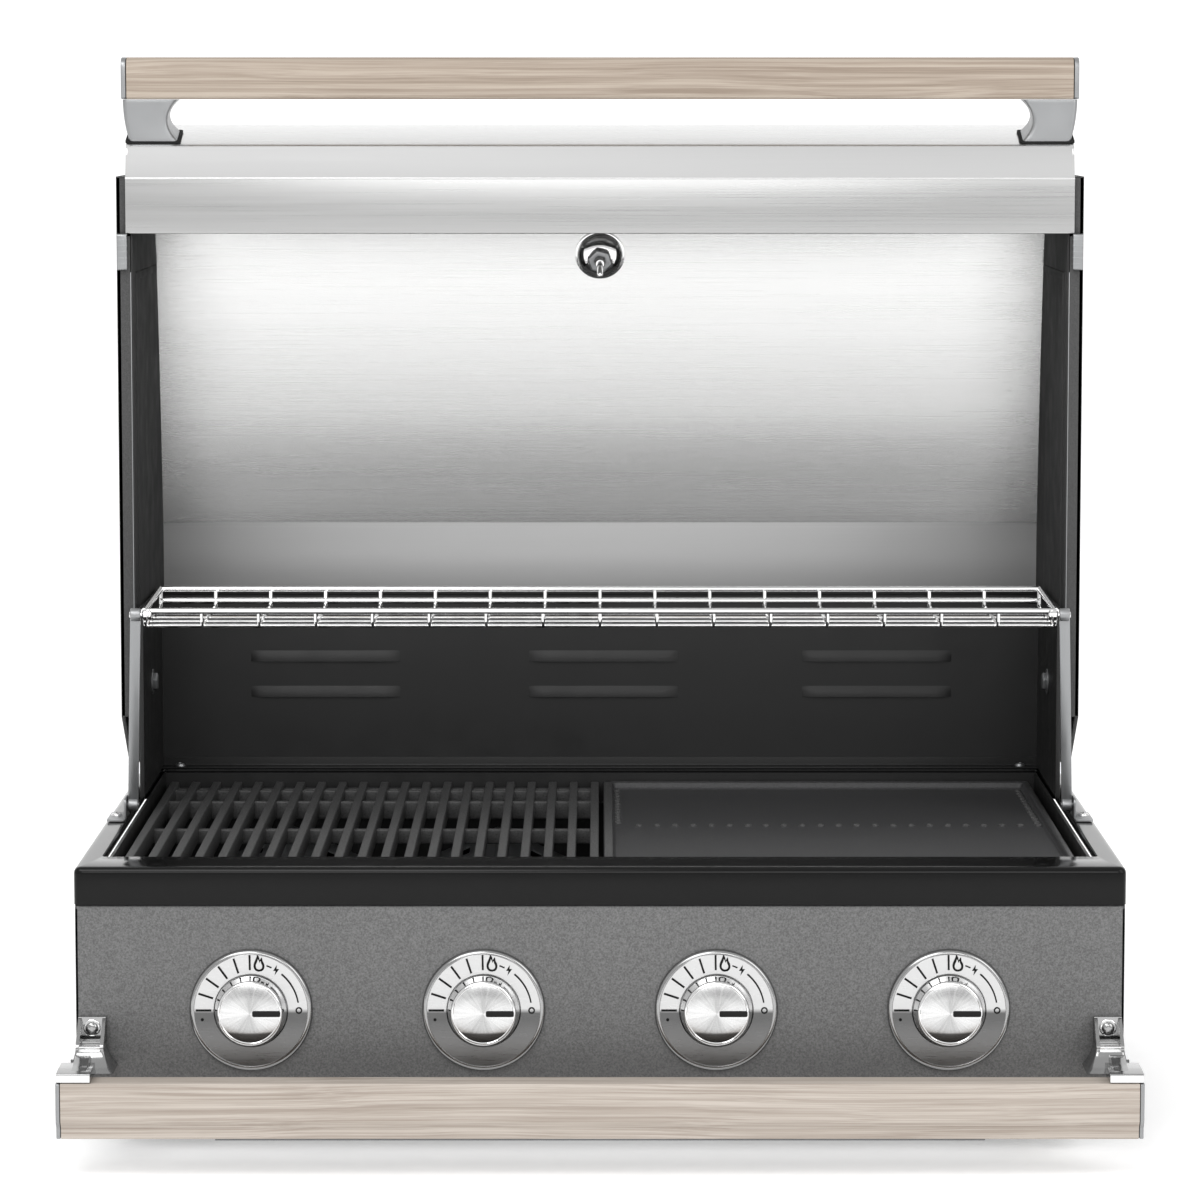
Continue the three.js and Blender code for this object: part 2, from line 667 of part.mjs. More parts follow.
function curvePoints(p0, p1, p2, p3, steps) {
  const [a, b, c, d] = [p0, p1, p2, p3].map(([y, z]) => new THREE.Vector2(y, z));
  return new THREE.CubicBezierCurve(a, b, c, d).getPoints(steps).map(({ x, y }) => [x, y]);
}

const WALL_FOOT = [-9, 12];
const SHOULDER = [48, 212];
const frontWall = curvePoints(WALL_FOOT, [-28, 62], [-52, 170], SHOULDER, BULGE_STEPS);
const roof = curvePoints(SHOULDER, [110, 238], [230, 256], [CREASE_Y, ROOF_Z], ROOF_STEPS);
const rearSkirt = [
  [505, ROOF_Z],
  [516, 263],
  [SKIRT_Y, 252],
  [SKIRT_Y, SKIRT_LOW],
];
const lip = [
  [63, 4],
  [18, 4],
];

// Ahead of this line the hood is only as wide as its lip, and its ends are closed by small plates.
const NOSE_BACK = 16;
const nose = frontWall.filter(([y]) => y < NOSE_BACK);

function makeHoodSkin() {
  const line = [...lip, ...frontWall, ...roof.slice(1), ...rearSkirt];
  const skin = prismX(sheetOutline(line, HOOD_SHEET), [-HOOD_SKIN_HALF, HOOD_SKIN_HALF]);
  const trims = Object.values(SIDES).flatMap((side) => {
    const beyond = [side * HOOD_LIP_HALF, side * 420].sort((a, b) => a - b);
    return [
      box(beyond, [-40, 70], [0, 11]),
      box(beyond, [-60, NOSE_BACK + STEEL + GAP], [0, 260]),
    ];
  });
  const ends = Object.values(SIDES).map((side) =>
    prismX(
      [[NOSE_BACK - GAP, 4.5], [-5, 11], ...nose.slice(1), [NOSE_BACK - GAP, nose.at(-1)[1] + 4]],
      [side * (HOOD_LIP_HALF - HOOD_SHEET), side * HOOD_LIP_HALF].sort((a, b) => a - b),
    ),
  );
  const gaugeHole = gaugeRod(-20, 20, 6.4, 16);
  return toMesh("hood_skin", cut(union([skin, ...ends]), [...trims, gaugeHole]), FINISH.brushed);
}

function makeHoodSide(name, side) {
  const outline = [
    [18, HOOD_EDGE],
    ...frontWall,
    ...roof.slice(1),
    ...rearSkirt.slice(0, 3),
    [SKIRT_Y, 80],
    [466, HOOD_EDGE],
  ];
  const outer = [side * (BODY_HALF_WIDTH - HOOD_SIDE_SHEET), side * BODY_HALF_WIDTH].sort((a, b) => a - b);
  const flangeX = [side * 389, side * (BODY_HALF_WIDTH - 1)].sort((a, b) => a - b);
  const narrowX = [side * (HOOD_LIP_HALF + GAP), side * (BODY_HALF_WIDTH - 1)].sort((a, b) => a - b);
  const ahead = box([-420, 420], [-60, NOSE_BACK], [0, 300]);
  const plate = cut(prismX(outline, outer), [ahead]);
  const frontFlange = box(narrowX, [NOSE_BACK, NOSE_BACK + STEEL], [HOOD_EDGE, nose.at(-1)[1] - 4]);
  const lipFlange = box(narrowX, [NOSE_BACK, 66], [HOOD_EDGE, HOOD_EDGE + STEEL]);
  const lowFlange = box(flangeX, [65, 466], [HOOD_EDGE, HOOD_EDGE + STEEL]);
  const pinHole = rod([side * 380, HINGE_Y, HINGE_Z], [side * 398, HINGE_Y, HINGE_Z], 5.3, 16);
  const boss = rod([side * 388, HINGE_Y, HINGE_Z], [side * 398, HINGE_Y, HINGE_Z], 14, 20);
  const panel = union([plate, frontFlange, lipFlange, lowFlange, boss]);
  return toMesh("hood_side_" + name, cut(panel, [pinHole]), FINISH.charcoal);
}

function makeBumper(name, side) {
  const x = [side * 391, side * 399].sort((a, b) => a - b);
  const pad = box(x, [63, 93], [0.6, HOOD_EDGE - GAP]);
  return toMesh("hood_bumper_" + name, pad, FINISH.silver);
}

// ---- Hood handle ----
function makeHandle() {
  const [y0, y1] = [HANDLE_FRONT, HANDLE_FRONT + HANDLE_SIZE];
  const [z0, z1] = [HANDLE_LOW, HANDLE_LOW + 36];
  const round = 6;
  const outline = [
    [y0, z0 + round],
    [y0 + round * 0.3, z0 + round * 0.3],
    [y0 + round, z0],
    [y1 - 2, z0],
    [y1, z0 + 2],
    [y1, z1 - 2],
    [y1 - 2, z1],
    [y0 + round, z1],
    [y0 + round * 0.3, z1 - round * 0.3],
    [y0, z1 - round],
  ];
  const capLength = 4;
  const half = HANDLE_HALF - capLength - GAP;
  const cap = (side) =>
    prismX(outline, [side * (HANDLE_HALF - capLength), side * HANDLE_HALF].sort((a, b) => a - b));
  return [
    toMesh("hood_handle", prismX(outline, [-half, half]), FINISH.wood),
    toMesh("handle_cap_left", cap(SIDES.left), FINISH.silver),
    toMesh("handle_cap_right", cap(SIDES.right), FINISH.silver),
  ];
}

function makeHandlePost(name, side) {
  const top = HANDLE_FRONT + HANDLE_SIZE + GAP;
  const foot = 10;
  const outline = [
    [side * 352, top],
    [side * 395, top],
    [side * 395, top + 6],
    [side * 390, foot],
    [side * 350, foot],
    [side * 353, top + 12],
  ];
  const post = prismZ(outline, [HANDLE_LOW + 2, HANDLE_LOW + 34]);
  const envelope = [[70, 4], [18, 4], ...frontWall, [70, 212]].map(([y, z]) => [y - GAP, z]);
  return toMesh("handle_post_" + name, cut(post, [prismX(envelope, [-420, 420])]), FINISH.silver);
}

// ---- Thermometer on the sloping front of the roof ----
const GAUGE_Y = 87;
const [GAUGE_Z, GAUGE_TILT] = (() => {
  const i = roof.findIndex(([y]) => y > GAUGE_Y);
  const [[ya, za], [yb, zb]] = [roof[i - 1], roof[i]];
  return [za + ((zb - za) * (GAUGE_Y - ya)) / (yb - ya), Math.atan2(zb - za, yb - ya)];
})();
const GAUGE_AXIS = [0, -Math.sin(GAUGE_TILT), Math.cos(GAUGE_TILT)];
function gaugePoint(distance) {
  return [0, GAUGE_Y + GAUGE_AXIS[1] * distance, GAUGE_Z + GAUGE_AXIS[2] * distance];
}
function gaugeRod(from, to, radius, sides) {
  return rod(gaugePoint(from), gaugePoint(to), radius, sides);
}

function makeThermometer() {
  const under = -HOOD_SHEET - 0.6;
  const caseProfile = [
    [0, 0.8],
    [30, 0.8],
    [32, 3],
    [32, 10],
    [29, 13],
    [27, 12],
    [0, 12],
  ];
  const head = turned(caseProfile, gaugePoint(0), GAUGE_AXIS, 20);
  const stem = gaugeRod(2, -30, 4.5, 12);
  const probe = gaugeRod(-29, -62, 2.5, 8);
  const cupProfile = [
    [5, -2.2],
    [20, -2.2],
    [20, -6],
    [17, -10.5],
    [9, -13],
    [5, -13],
    [5, -2.2],
  ].map(([r, d]) => [r, d + under + 2.2 - 0.8]);
  const cup = turned(cupProfile.toReversed(), gaugePoint(0), GAUGE_AXIS, 20);
  const nut = cut(gaugeRod(-16.3, -24, 11, 6), [gaugeRod(-15, -26, 5, 12)]);
  return [
    toMesh("thermometer", union([head, stem, probe]), FINISH.chrome),
    toMesh("thermometer_cup", cup, FINISH.chrome),
    toMesh("thermometer_nut", nut, FINISH.silver),
  ];
}

// ---- Assembly ----
const sides = (make) => Object.entries(SIDES).map(([name, side]) => make(name, side));
const perBurner = (make) => Array.from({ length: BURNER_COUNT }, (_, index) => make(index));

const body = new THREE.Group().add(
  makeFirebox(),
  makeRim(),
  makeFascia(),
  makeUpstand(),
  ...sides(makeHingePin),
  ...perBurner(makeBurner),
  ...perBurner(makeFlameTamer),
  ...perBurner(makeValve),
  makeManifold(),
  makeGasInlet(),
  makeIgnition(),
  ...perBurner(makeBezel),
  makeTrayHousing(),
  ...makeRail(),
  ...sides(makeRailBracket),
  makeRack(),
  ...sides(makeRackLeg),
  ...sides(makeRackBracket),
);

const controls = new THREE.Group().add(...perBurner(makeKnobStem), ...perBurner(makeKnob));
const liftOut = new THREE.Group().add(makeGrill(), makeHotplate(), makeDripTray());

const hood = new THREE.Group().add(
  makeHoodSkin(),
  ...sides(makeHoodSide),
  ...sides(makeBumper),
  ...makeHandle(),
  ...sides(makeHandlePost),
  ...makeThermometer(),
);
hood.position.set(0, -HINGE_Y, -HINGE_Z);

const hinge = new THREE.Group().add(hood);
hinge.position.set(0, HINGE_Y, HINGE_Z);
hinge.rotation.x = -Math.PI / 2; // the hood stands fully open

const barbecue = new THREE.Group().add(body, controls, liftOut, hinge);
barbecue.position.set(0, -(HOUSING_FRONT + HOUSING_REAR) / 2, -HOUSING_BOTTOM);

const group = new THREE.Group().add(barbecue);

export default group;
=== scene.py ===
"""Looks of a built-in gas barbecue: its hood, body, controls, grates, warming rack and wooden rails."""
from __future__ import annotations

import json
import logging
import math
from collections.abc import Callable, Iterable, Sequence
from dataclasses import dataclass
from enum import Enum

import bmesh
import bpy
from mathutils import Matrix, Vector

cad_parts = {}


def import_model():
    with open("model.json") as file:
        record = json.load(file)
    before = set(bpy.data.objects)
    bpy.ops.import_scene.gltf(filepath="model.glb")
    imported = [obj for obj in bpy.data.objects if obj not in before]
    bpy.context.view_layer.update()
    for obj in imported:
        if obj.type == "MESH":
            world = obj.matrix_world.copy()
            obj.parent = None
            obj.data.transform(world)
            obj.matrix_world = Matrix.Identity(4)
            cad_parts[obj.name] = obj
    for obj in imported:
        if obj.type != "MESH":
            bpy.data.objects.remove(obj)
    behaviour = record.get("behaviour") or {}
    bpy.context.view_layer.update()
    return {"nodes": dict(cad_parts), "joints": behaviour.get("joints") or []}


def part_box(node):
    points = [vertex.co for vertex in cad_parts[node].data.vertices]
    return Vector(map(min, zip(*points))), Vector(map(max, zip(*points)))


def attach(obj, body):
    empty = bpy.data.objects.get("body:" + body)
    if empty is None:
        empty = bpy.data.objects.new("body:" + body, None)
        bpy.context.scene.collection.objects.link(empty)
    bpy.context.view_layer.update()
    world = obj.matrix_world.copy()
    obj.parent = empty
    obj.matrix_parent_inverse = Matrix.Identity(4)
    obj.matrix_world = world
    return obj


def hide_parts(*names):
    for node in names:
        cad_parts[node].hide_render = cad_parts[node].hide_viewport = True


LOG = logging.getLogger("barbecue")
MM = 0.001
WELD = 1e-7
BEVEL_BULGE = 0.6
SMOOTH_ANGLE = math.radians(32)
ROOT = "cook_body"
SIDES = {"left": -1, "right": 1}
Point = tuple[float, float]
Outline = Sequence[Point]


# ---------------------------------------------------------------- places


@dataclass(frozen=True)
class Datum:
    """The face of the control fascia and the top of the rim, which all sizes are counted from."""

    front: float
    top: float
    hinge_y: float
    hinge_z: float

    @classmethod
    def from_frame(cls, joints: Iterable[dict]) -> Datum:
        """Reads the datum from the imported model.

        Args:
            joints: the frame's joints, one of which is the hood's hinge.

        Returns:
            The datum, in metres.
        """
        hinge = next(joint for joint in joints if joint["name"] == "hood_hinge")["pos_m"]
        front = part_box("control_fascia")[0].y
        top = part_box("top_rim")[1].z
        return cls(front, top, hinge[1] - front, hinge[2] - top)

    def at(self, x: float, y: float, z: float) -> Vector:
        """Returns the place of a point given in millimetres right, back and up from the datum."""
        return Vector((x * MM, self.front + y * MM, self.top + z * MM))

    def hood(self, x: float, y: float, z: float) -> Vector:
        """Returns where a point of the closed hood, in millimetres, lies while the hood stands open.

        Args:
            x: millimetres right of the middle.
            y: millimetres back from the fascia, with the hood closed.
            z: millimetres up from the rim, with the hood closed.

        Returns:
            The place, in metres.
        """
        back = self.hinge_y + z * MM - self.hinge_z
        up = self.hinge_z + self.hinge_y - y * MM
        return Vector((x * MM, self.front + back, self.top + up))


Place = Callable[[float, float, float], Vector]


def spread(count: int, first: float, last: float) -> list[float]:
    """Returns evenly spaced values from the first to the last."""
    return [first + (last - first) * i / (count - 1) for i in range(count)]


def sided(side: int, near: float, far: float) -> list[float]:
    """Returns a span on one side of the middle, from its lower end to its upper one."""
    return sorted((side * near, side * far))


def sided(side: int, near: float, far: float) -> list[float]:
    """Returns a span on one side of the middle, from its lower end to its upper one."""
    return sorted((side * near, side * far))


def arc(centre: Point, radius: float, start: float, end: float, steps: int) -> list[Point]:
    """Returns points on an arc.

    Args:
        centre: the arc's centre.
        radius: its radius.
        start: the first angle in degrees.
        end: the last angle in degrees.
        steps: the number of chords.

    Returns:
        steps + 1 points.
    """
    angles = [math.radians(a) for a in spread(steps + 1, start, end)]
    return [(centre[0] + radius * math.cos(a), centre[1] + radius * math.sin(a)) for a in angles]


def bezier(p0: Point, p1: Point, p2: Point, p3: Point, steps: int) -> list[Point]:
    """Returns steps + 1 points on a cubic curve.

    Args:
        p0: the start.
        p1: the start's handle.
        p2: the end's handle.
        p3: the end.
        steps: the number of chords.

    Returns:
        The points, with both ends.
    """
    points = []
    for t in spread(steps + 1, 0.0, 1.0):
        s = 1 - t
        weights = (s**3, 3 * s * s * t, 3 * s * t * t, t**3)
        points.append(tuple(sum(w * p[k] for w, p in zip(weights, (p0, p1, p2, p3))) for k in (0, 1)))
    return points


def rounded(outline: Outline, radius: float, steps: int = 4) -> list[Point]:
    """Returns the closed outline with its corners rounded.

    Args:
        outline: the corners, in order.
        radius: the corner radius, made smaller where an edge is short.
        steps: chords for each corner.

    Returns:
        The rounded outline.
    """
    result = []
    count = len(outline)
    for i, corner in enumerate(outline):
        here = Vector(corner)
        before = Vector(outline[i - 1]) - here
        after = Vector(outline[(i + 1) % count]) - here
        reach = min(radius, before.length * 0.49, after.length * 0.49)
        a, b = here + before.normalized() * reach, here + after.normalized() * reach
        for t in spread(steps + 1, 0.0, 1.0):
            point = a * (1 - t) ** 2 + here * 2 * t * (1 - t) + b * t * t
            result.append((point.x, point.y))
    return result


def ease(line: Outline, radius: float, steps: int = 4) -> list[Point]:
    """Returns an open line with the sharp corners between its ends rounded.

    Args:
        line: the line's points.
        radius: the corner radius, made smaller where a stretch is short.
        steps: chords for each corner.

    Returns:
        The eased line.
    """
    result = [line[0]]
    for before, here, after in zip(line, line[1:], line[2:]):
        corner = Vector(here)
        a, b = Vector(before) - corner, Vector(after) - corner
        if a.angle(-b) < math.radians(6):
            result.append(here)
            continue
        reach = min(radius, a.length * 0.49, b.length * 0.49)
        a, b = corner + a.normalized() * reach, corner + b.normalized() * reach
        for t in spread(steps + 1, 0.0, 1.0):
            point = a * (1 - t) ** 2 + corner * 2 * t * (1 - t) + b * t * t
            result.append((point.x, point.y))
    return [*result, line[-1]]


def grown(outline: Outline, distance: float) -> list[Point]:
    """Returns a closed outline moved away from its middle."""
    middle = sum((Vector(p) for p in outline), Vector((0, 0))) / len(outline)
    return [tuple(Vector(p) + (Vector(p) - middle).normalized() * distance) for p in outline]


def offset_line(line: Outline, distance: float) -> list[Point]:
    """Returns an open line moved sideways, to the right of its direction for a positive distance.

    Args:
        line: the line's points.
        distance: how far it moves.

    Returns:
        The moved line.
    """
    result = []
    for i, point in enumerate(line):
        before = Vector(line[i]) - Vector(line[i - 1]) if i else Vector(line[1]) - Vector(line[0])
        after = Vector(line[i + 1]) - Vector(point) if i < len(line) - 1 else before
        n0 = Vector((before.y, -before.x)).normalized()
        n1 = Vector((after.y, -after.x)).normalized()
        middle = (n0 + n1).normalized()
        moved = Vector(point) + middle * distance / max(0.3, middle.dot(n1))
        result.append((moved.x, moved.y))
    return result


# ---------------------------------------------------------------- shader maths


class Signal:
    """A shader value that Python's operators turn into Math nodes."""

    def __init__(self, graph: Graph, socket: bpy.types.NodeSocket) -> None:
        """Wraps an output socket of a graph."""
        self.graph = graph
        self.socket = socket

    def math(self, operation: str, *values: Signal | float) -> Signal:
        """Returns the result of a Math node with this value first."""
        return self.graph.math(operation, self, *values)

    def __add__(self, other: Signal | float) -> Signal:
        """Adds."""
        return self.math("ADD", other)

    def __sub__(self, other: Signal | float) -> Signal:
        """Subtracts."""
        return self.math("SUBTRACT", other)

    def __mul__(self, other: Signal | float) -> Signal:
        """Multiplies."""
        return self.math("MULTIPLY", other)

    def __rsub__(self, other: float) -> Signal:
        """Subtracts this value from a number."""
        return self.graph.math("SUBTRACT", other, self)

    __radd__ = __add__
    __rmul__ = __mul__

    def ramp(self, low: float, high: float, out_low: float = 0.0, out_high: float = 1.0) -> Signal:
        """Maps the range low to high onto out_low to out_high, held at its ends."""
        inputs = {"Value": self, "From Min": low, "From Max": high, "To Min": out_low, "To Max": out_high}
        return self.graph.node("ShaderNodeMapRange", {}, inputs, "Result")


class Graph:
    """The node graph of one material."""

    def __init__(self, material: bpy.types.Material) -> None:
        """Starts from the material's own shader.

        Args:
            material: the material to work on.
        """
        material.use_nodes = True
        self.tree = material.node_tree
        self.shader = self.tree.nodes["Principled BSDF"]

    def node(self, kind: str, settings: dict, inputs: dict, output: str | int = 0) -> Signal:
        """Adds a node.

        Args:
            kind: the node's type.
            settings: its own settings, set first.
            inputs: values or signals by socket name or number.
            output: the socket to return.

        Returns:
            The chosen output.
        """
        node = self.tree.nodes.new(kind)
        for name, value in settings.items():
            setattr(node, name, value)
        for name, value in inputs.items():
            self.feed(node.inputs[name], value)
        return Signal(self, node.outputs[output])

    def feed(self, socket: bpy.types.NodeSocket, value: Signal | float | Sequence[float]) -> None:
        """Links a signal to a socket, or sets the socket's value.

        Args:
            socket: the input to feed.
            value: the signal or the value.
        """
        if isinstance(value, Signal):
            self.tree.links.new(value.socket, socket)
        else:
            socket.default_value = value

    def math(self, operation: str, *values: Signal | float) -> Signal:
        """Returns the result of a Math node."""
        return self.node("ShaderNodeMath", {"operation": operation}, dict(enumerate(values)))

    def place(self, scale: Sequence[float] = (1, 1, 1)) -> Signal:
        """Returns Object coordinates, scaled."""
        coords = self.node("ShaderNodeTexCoord", {}, {}, "Object")
        return self.node("ShaderNodeMapping", {}, {"Vector": coords, "Scale": scale})

    def axis(self, where: Signal, name: str) -> Signal:
        """Returns one coordinate of a vector."""
        return self.node("ShaderNodeSeparateXYZ", {}, {"Vector": where}, name)

    def noise(self, where: Signal, scale: float, detail: float = 3.0, roughness: float = 0.55) -> Signal:
        """Returns a noise value about 0.5."""
        inputs = {"Vector": where, "Scale": scale, "Detail": detail, "Roughness": roughness}
        return self.node("ShaderNodeTexNoise", {}, inputs, "Fac")

    def cells(self, where: Signal, scale: float) -> Signal:
        """Returns the distance to the nearest of scattered points."""
        return self.node("ShaderNodeTexVoronoi", {}, {"Vector": where, "Scale": scale}, "Distance")

    def mix(self, factor: Signal, low: Sequence[float], high: Sequence[float]) -> Signal:
        """Returns a colour between two."""
        settings = {"data_type": "RGBA"}
        return self.node("ShaderNodeMix", settings, {0: factor, 6: (*low, 1), 7: (*high, 1)}, 2)

    def tint(self, factor: Signal, under: Signal, over: Sequence[float]) -> Signal:
        """Returns a signal's colour covered by another."""
        return self.node("ShaderNodeMix", {"data_type": "RGBA"}, {0: factor, 6: under, 7: (*over, 1)}, 2)

    def relief(self, height: Signal, depth: float, strength: float = 1.0) -> None:
        """Bumps the surface by a height of 0 to 1 times the depth in metres."""
        inputs = {"Height": height, "Distance": depth, "Strength": strength}
        self.feed(self.shader.inputs["Normal"], self.node("ShaderNodeBump", {}, inputs, "Normal"))

    def colour(self, value: Signal) -> None:
        """Feeds the base colour."""
        self.feed(self.shader.inputs["Base Color"], value)

    def roughness(self, value: Signal) -> None:
        """Feeds the roughness."""
        self.feed(self.shader.inputs["Roughness"], value)


# ---------------------------------------------------------------- finishes


@dataclass(frozen=True)
class Finish:
    """A plain finish; the kinds below add their own surface."""

    name: str
    tone: tuple[float, float, float]
    rough: float
    metal: float = 0.0
    sheen: float = 0.5
    alpha: float = 1.0

    def material(self) -> bpy.types.Material:
        """Returns the finish's material, made on first use.

        Returns:
            The material.
        """
        made = bpy.data.materials.get(self.name)
        if made:
            return made
        made = bpy.data.materials.new(self.name)
        graph = Graph(made)
        values = {"Base Color": (*self.tone, 1), "Roughness": self.rough, "Metallic": self.metal}
        values |= {"Specular IOR Level": self.sheen, "Alpha": self.alpha}
        for socket, value in values.items():
            graph.shader.inputs[socket].default_value = value
        made.diffuse_color = (*self.tone, 1)
        self.surface(graph)
        return made

    def surface(self, graph: Graph) -> None:
        """Adds light handling marks and a little unevenness.

        Args:
            graph: the material's nodes.
        """
        smears = graph.noise(graph.place(), 38, 4)
        graph.roughness(smears.ramp(0.3, 0.75, self.rough * 0.85, self.rough * 1.2 + 0.02))
        graph.colour(graph.mix(smears, self.shade(0.94), self.shade(1.05)))

    def shade(self, factor: float) -> tuple[float, float, float]:
        """Returns the tone made lighter or darker."""
        return tuple(min(1.0, c * factor) for c in self.tone)


@dataclass(frozen=True)
class Brushed(Finish):
    """Steel brushed along X in fine, broken lines, with an optional painted shade that darkens it towards the
    foot of a height ramp.
    """

    length: float = 6.0
    fineness: float = 1500.0
    contrast: float = 0.08
    fade: tuple[float, float, float] = (0.0, 0.0, 1.0)

    def surface(self, graph: Graph) -> None:
        """Draws long fine lines, and darkens the steel towards the ramp's foot as a painted shade, a darker
        reflection painted low on the hood.

        Args:
            graph: the material's nodes.
        """
        lines = graph.noise(graph.place((self.length, self.fineness, self.fineness)), 1.0, 3, 0.6)
        broad = graph.noise(graph.place((2, 60, 60)), 1.0, 3)
        both = lines * 0.7 + broad * 0.3
        value = both.ramp(0.3, 0.7, 1 - self.contrast, 1.0)
        # painted shade: below the ramp's head the tone falls towards its least at the foot, a darker
        # reflection painted low on the hood
        foot, head, least = self.fade
        if least < 1:
            value = value * graph.axis(graph.place(), "Z").ramp(foot, head, least, 1.0)
        graph.colour(graph.mix(value, (0, 0, 0), self.tone))
        graph.roughness(both.ramp(0.3, 0.7, self.rough * 0.8, self.rough * 1.25))
        graph.relief(lines, 0.00004, 0.6)


@dataclass(frozen=True)
class Spun(Finish):
    """Metal turned on a lathe, with painted reflections round the middle of each control: bright and dark
    rays, and a dark crescent below the middle.
    """

    pitch: float = 0.1775
    height: float = 0.0
    shadow: Point = (-0.0158, -0.0142)

    def surface(self, graph: Graph) -> None:
        """Paints bright and dark reflection rays by the angle and a dark reflection crescent below the
        middle, and draws fine rings by the distance, from each control's middle.

        Args:
            graph: the material's nodes.
        """
        where = graph.place()
        shifted = graph.axis(where, "X") + self.pitch * 2
        across = shifted.math("MODULO", self.pitch) - self.pitch / 2
        up = graph.axis(where, "Z") - self.height
        angle = graph.math("ARCTAN2", up, across)
        distance = graph.math("SQRT", across * across + up * up)
        # painted reflection: bright and dark lobes and streaks that turn with the angle round the middle
        reflection_lobes = (angle * 2 + 0.3).math("COSINE") * 0.5 + 0.5
        fine = graph.node("ShaderNodeCombineXYZ", {}, {"X": angle * 9, "Y": distance * 40})
        reflection_streaks = graph.noise(fine, 1.0, 4, 0.7)
        painted_reflection = reflection_lobes * 0.4 + reflection_streaks.ramp(0.36, 0.64) * 0.22 + 0.33
        # painted shade: a dark crescent below the middle, where the face takes a darker reflection
        edge = (up - across * across * 4).ramp(*self.shadow)
        graph.colour(graph.mix(painted_reflection * edge * 0.9 + edge * 0.1, self.shade(0.16), self.shade(1.2)))
        rings = graph.noise(graph.node("ShaderNodeCombineXYZ", {}, {"X": distance * 2600}), 1.0, 2)
        graph.roughness(rings.ramp(0.3, 0.7, self.rough * 0.85, self.rough * 1.2))
        graph.relief(rings, 0.00003, 0.7)


@dataclass(frozen=True)
class PaintedReflectionRing(Finish):
    """A satin ring with a painted reflection: its upper half is painted bright and its lower half dark below
    its middle.
    """

    height: float = 0.0
    reach: float = 0.047

    def surface(self, graph: Graph) -> None:
        """Paints a reflection by grading the tone by the height above each dial's middle, over fine turned
        rings.

        Args:
            graph: the material's nodes.
        """
        where = graph.place()
        up = (graph.axis(where, "Z") - self.height) * (1 / self.reach)
        # painted reflection: bright above the middle, darkest just below it, a little lighter towards the
        # foot
        upper = up.ramp(-0.05, 0.03)
        lower = up.ramp(-0.75, -0.15, 0.34, 0.08)
        brushed = graph.noise(graph.place((60, 900, 900)), 1.0, 3)
        tone = graph.math("MAXIMUM", upper, lower) * 0.94 + brushed * 0.06
        graph.colour(graph.mix(tone, self.shade(0.12), self.tone))
        graph.roughness(brushed.ramp(0.3, 0.7, self.rough * 0.85, self.rough * 1.2))


@dataclass(frozen=True)
class Speckled(Finish):
    """Metallic paint with fine light and dark flakes and a slight orange peel."""

    flake: float = 760.0

    def surface(self, graph: Graph) -> None:
        """Scatters flakes and adds the paint's relief.

        Args:
            graph: the material's nodes.
        """
        where = graph.place()
        flakes = graph.noise(where, self.flake, 2, 0.7)
        clouds = graph.noise(where, 9, 3)
        value = flakes.ramp(0.34, 0.66) * 0.8 + clouds * 0.2
        graph.colour(graph.mix(value, self.shade(0.66), self.shade(1.42)))
        graph.roughness(flakes.ramp(0.3, 0.7, self.rough * 1.2, self.rough * 0.8))
        graph.relief(graph.noise(where, 700, 2), 0.00006, 0.5)


@dataclass(frozen=True)
class Cast(Finish):
    """Rough sand-cast iron with an enamel or oiled skin."""

    grain: float = 620.0
    depth: float = 0.0004

    def surface(self, graph: Graph) -> None:
        """Adds coarse and fine casting grain, lighter where it stands proud.

        Args:
            graph: the material's nodes.
        """
        where = graph.place()
        coarse = graph.noise(where, self.grain, 5, 0.7)
        pits = graph.cells(where, self.grain * 0.7).ramp(0.0, 0.35)
        height = coarse * 0.75 + pits * 0.25
        graph.colour(graph.mix(height.ramp(0.35, 0.75), self.shade(0.55), self.shade(1.9)))
        graph.roughness(height.ramp(0.3, 0.8, self.rough * 1.15, self.rough * 0.75))
        graph.relief(height, self.depth, 0.8)


@dataclass(frozen=True)
class Timber(Finish):
    """Pale planed ash with long fine grain along X."""

    dark: tuple[float, float, float] = (0.3, 0.22, 0.16)

    def surface(self, graph: Graph) -> None:
        """Draws flowing growth lines, pores and slow changes of tone.

        Args:
            graph: the material's nodes.
        """
        where = graph.place()
        flow = graph.noise(graph.place((1.6, 12, 12)), 1.0, 3, 0.5)
        line_place = graph.node(
            "ShaderNodeCombineXYZ",
            {},
            {
                "X": graph.axis(where, "X") * 2.2,
                "Y": graph.axis(where, "Y") * 420 + flow * 7,
                "Z": graph.axis(where, "Z") * 420 + flow * 12,
            },
        )
        lines = graph.noise(line_place, 1.0, 4, 0.7).ramp(0.36, 0.62)
        pores = graph.noise(graph.place((14, 900, 900)), 1.0, 3, 0.7).ramp(0.56, 0.7)
        bands = graph.noise(graph.place((0.9, 26, 26)), 1.0, 2)
        grain = lines * 0.62 + bands * 0.38
        base = graph.mix(grain, self.dark, self.tone)
        graph.colour(graph.tint(pores * 0.35, base, self.dark))
        graph.roughness(grain.ramp(0.0, 1.0, self.rough * 1.15, self.rough * 0.9))
        graph.relief(grain * 0.8 - pores * 0.4, 0.00018, 0.6)


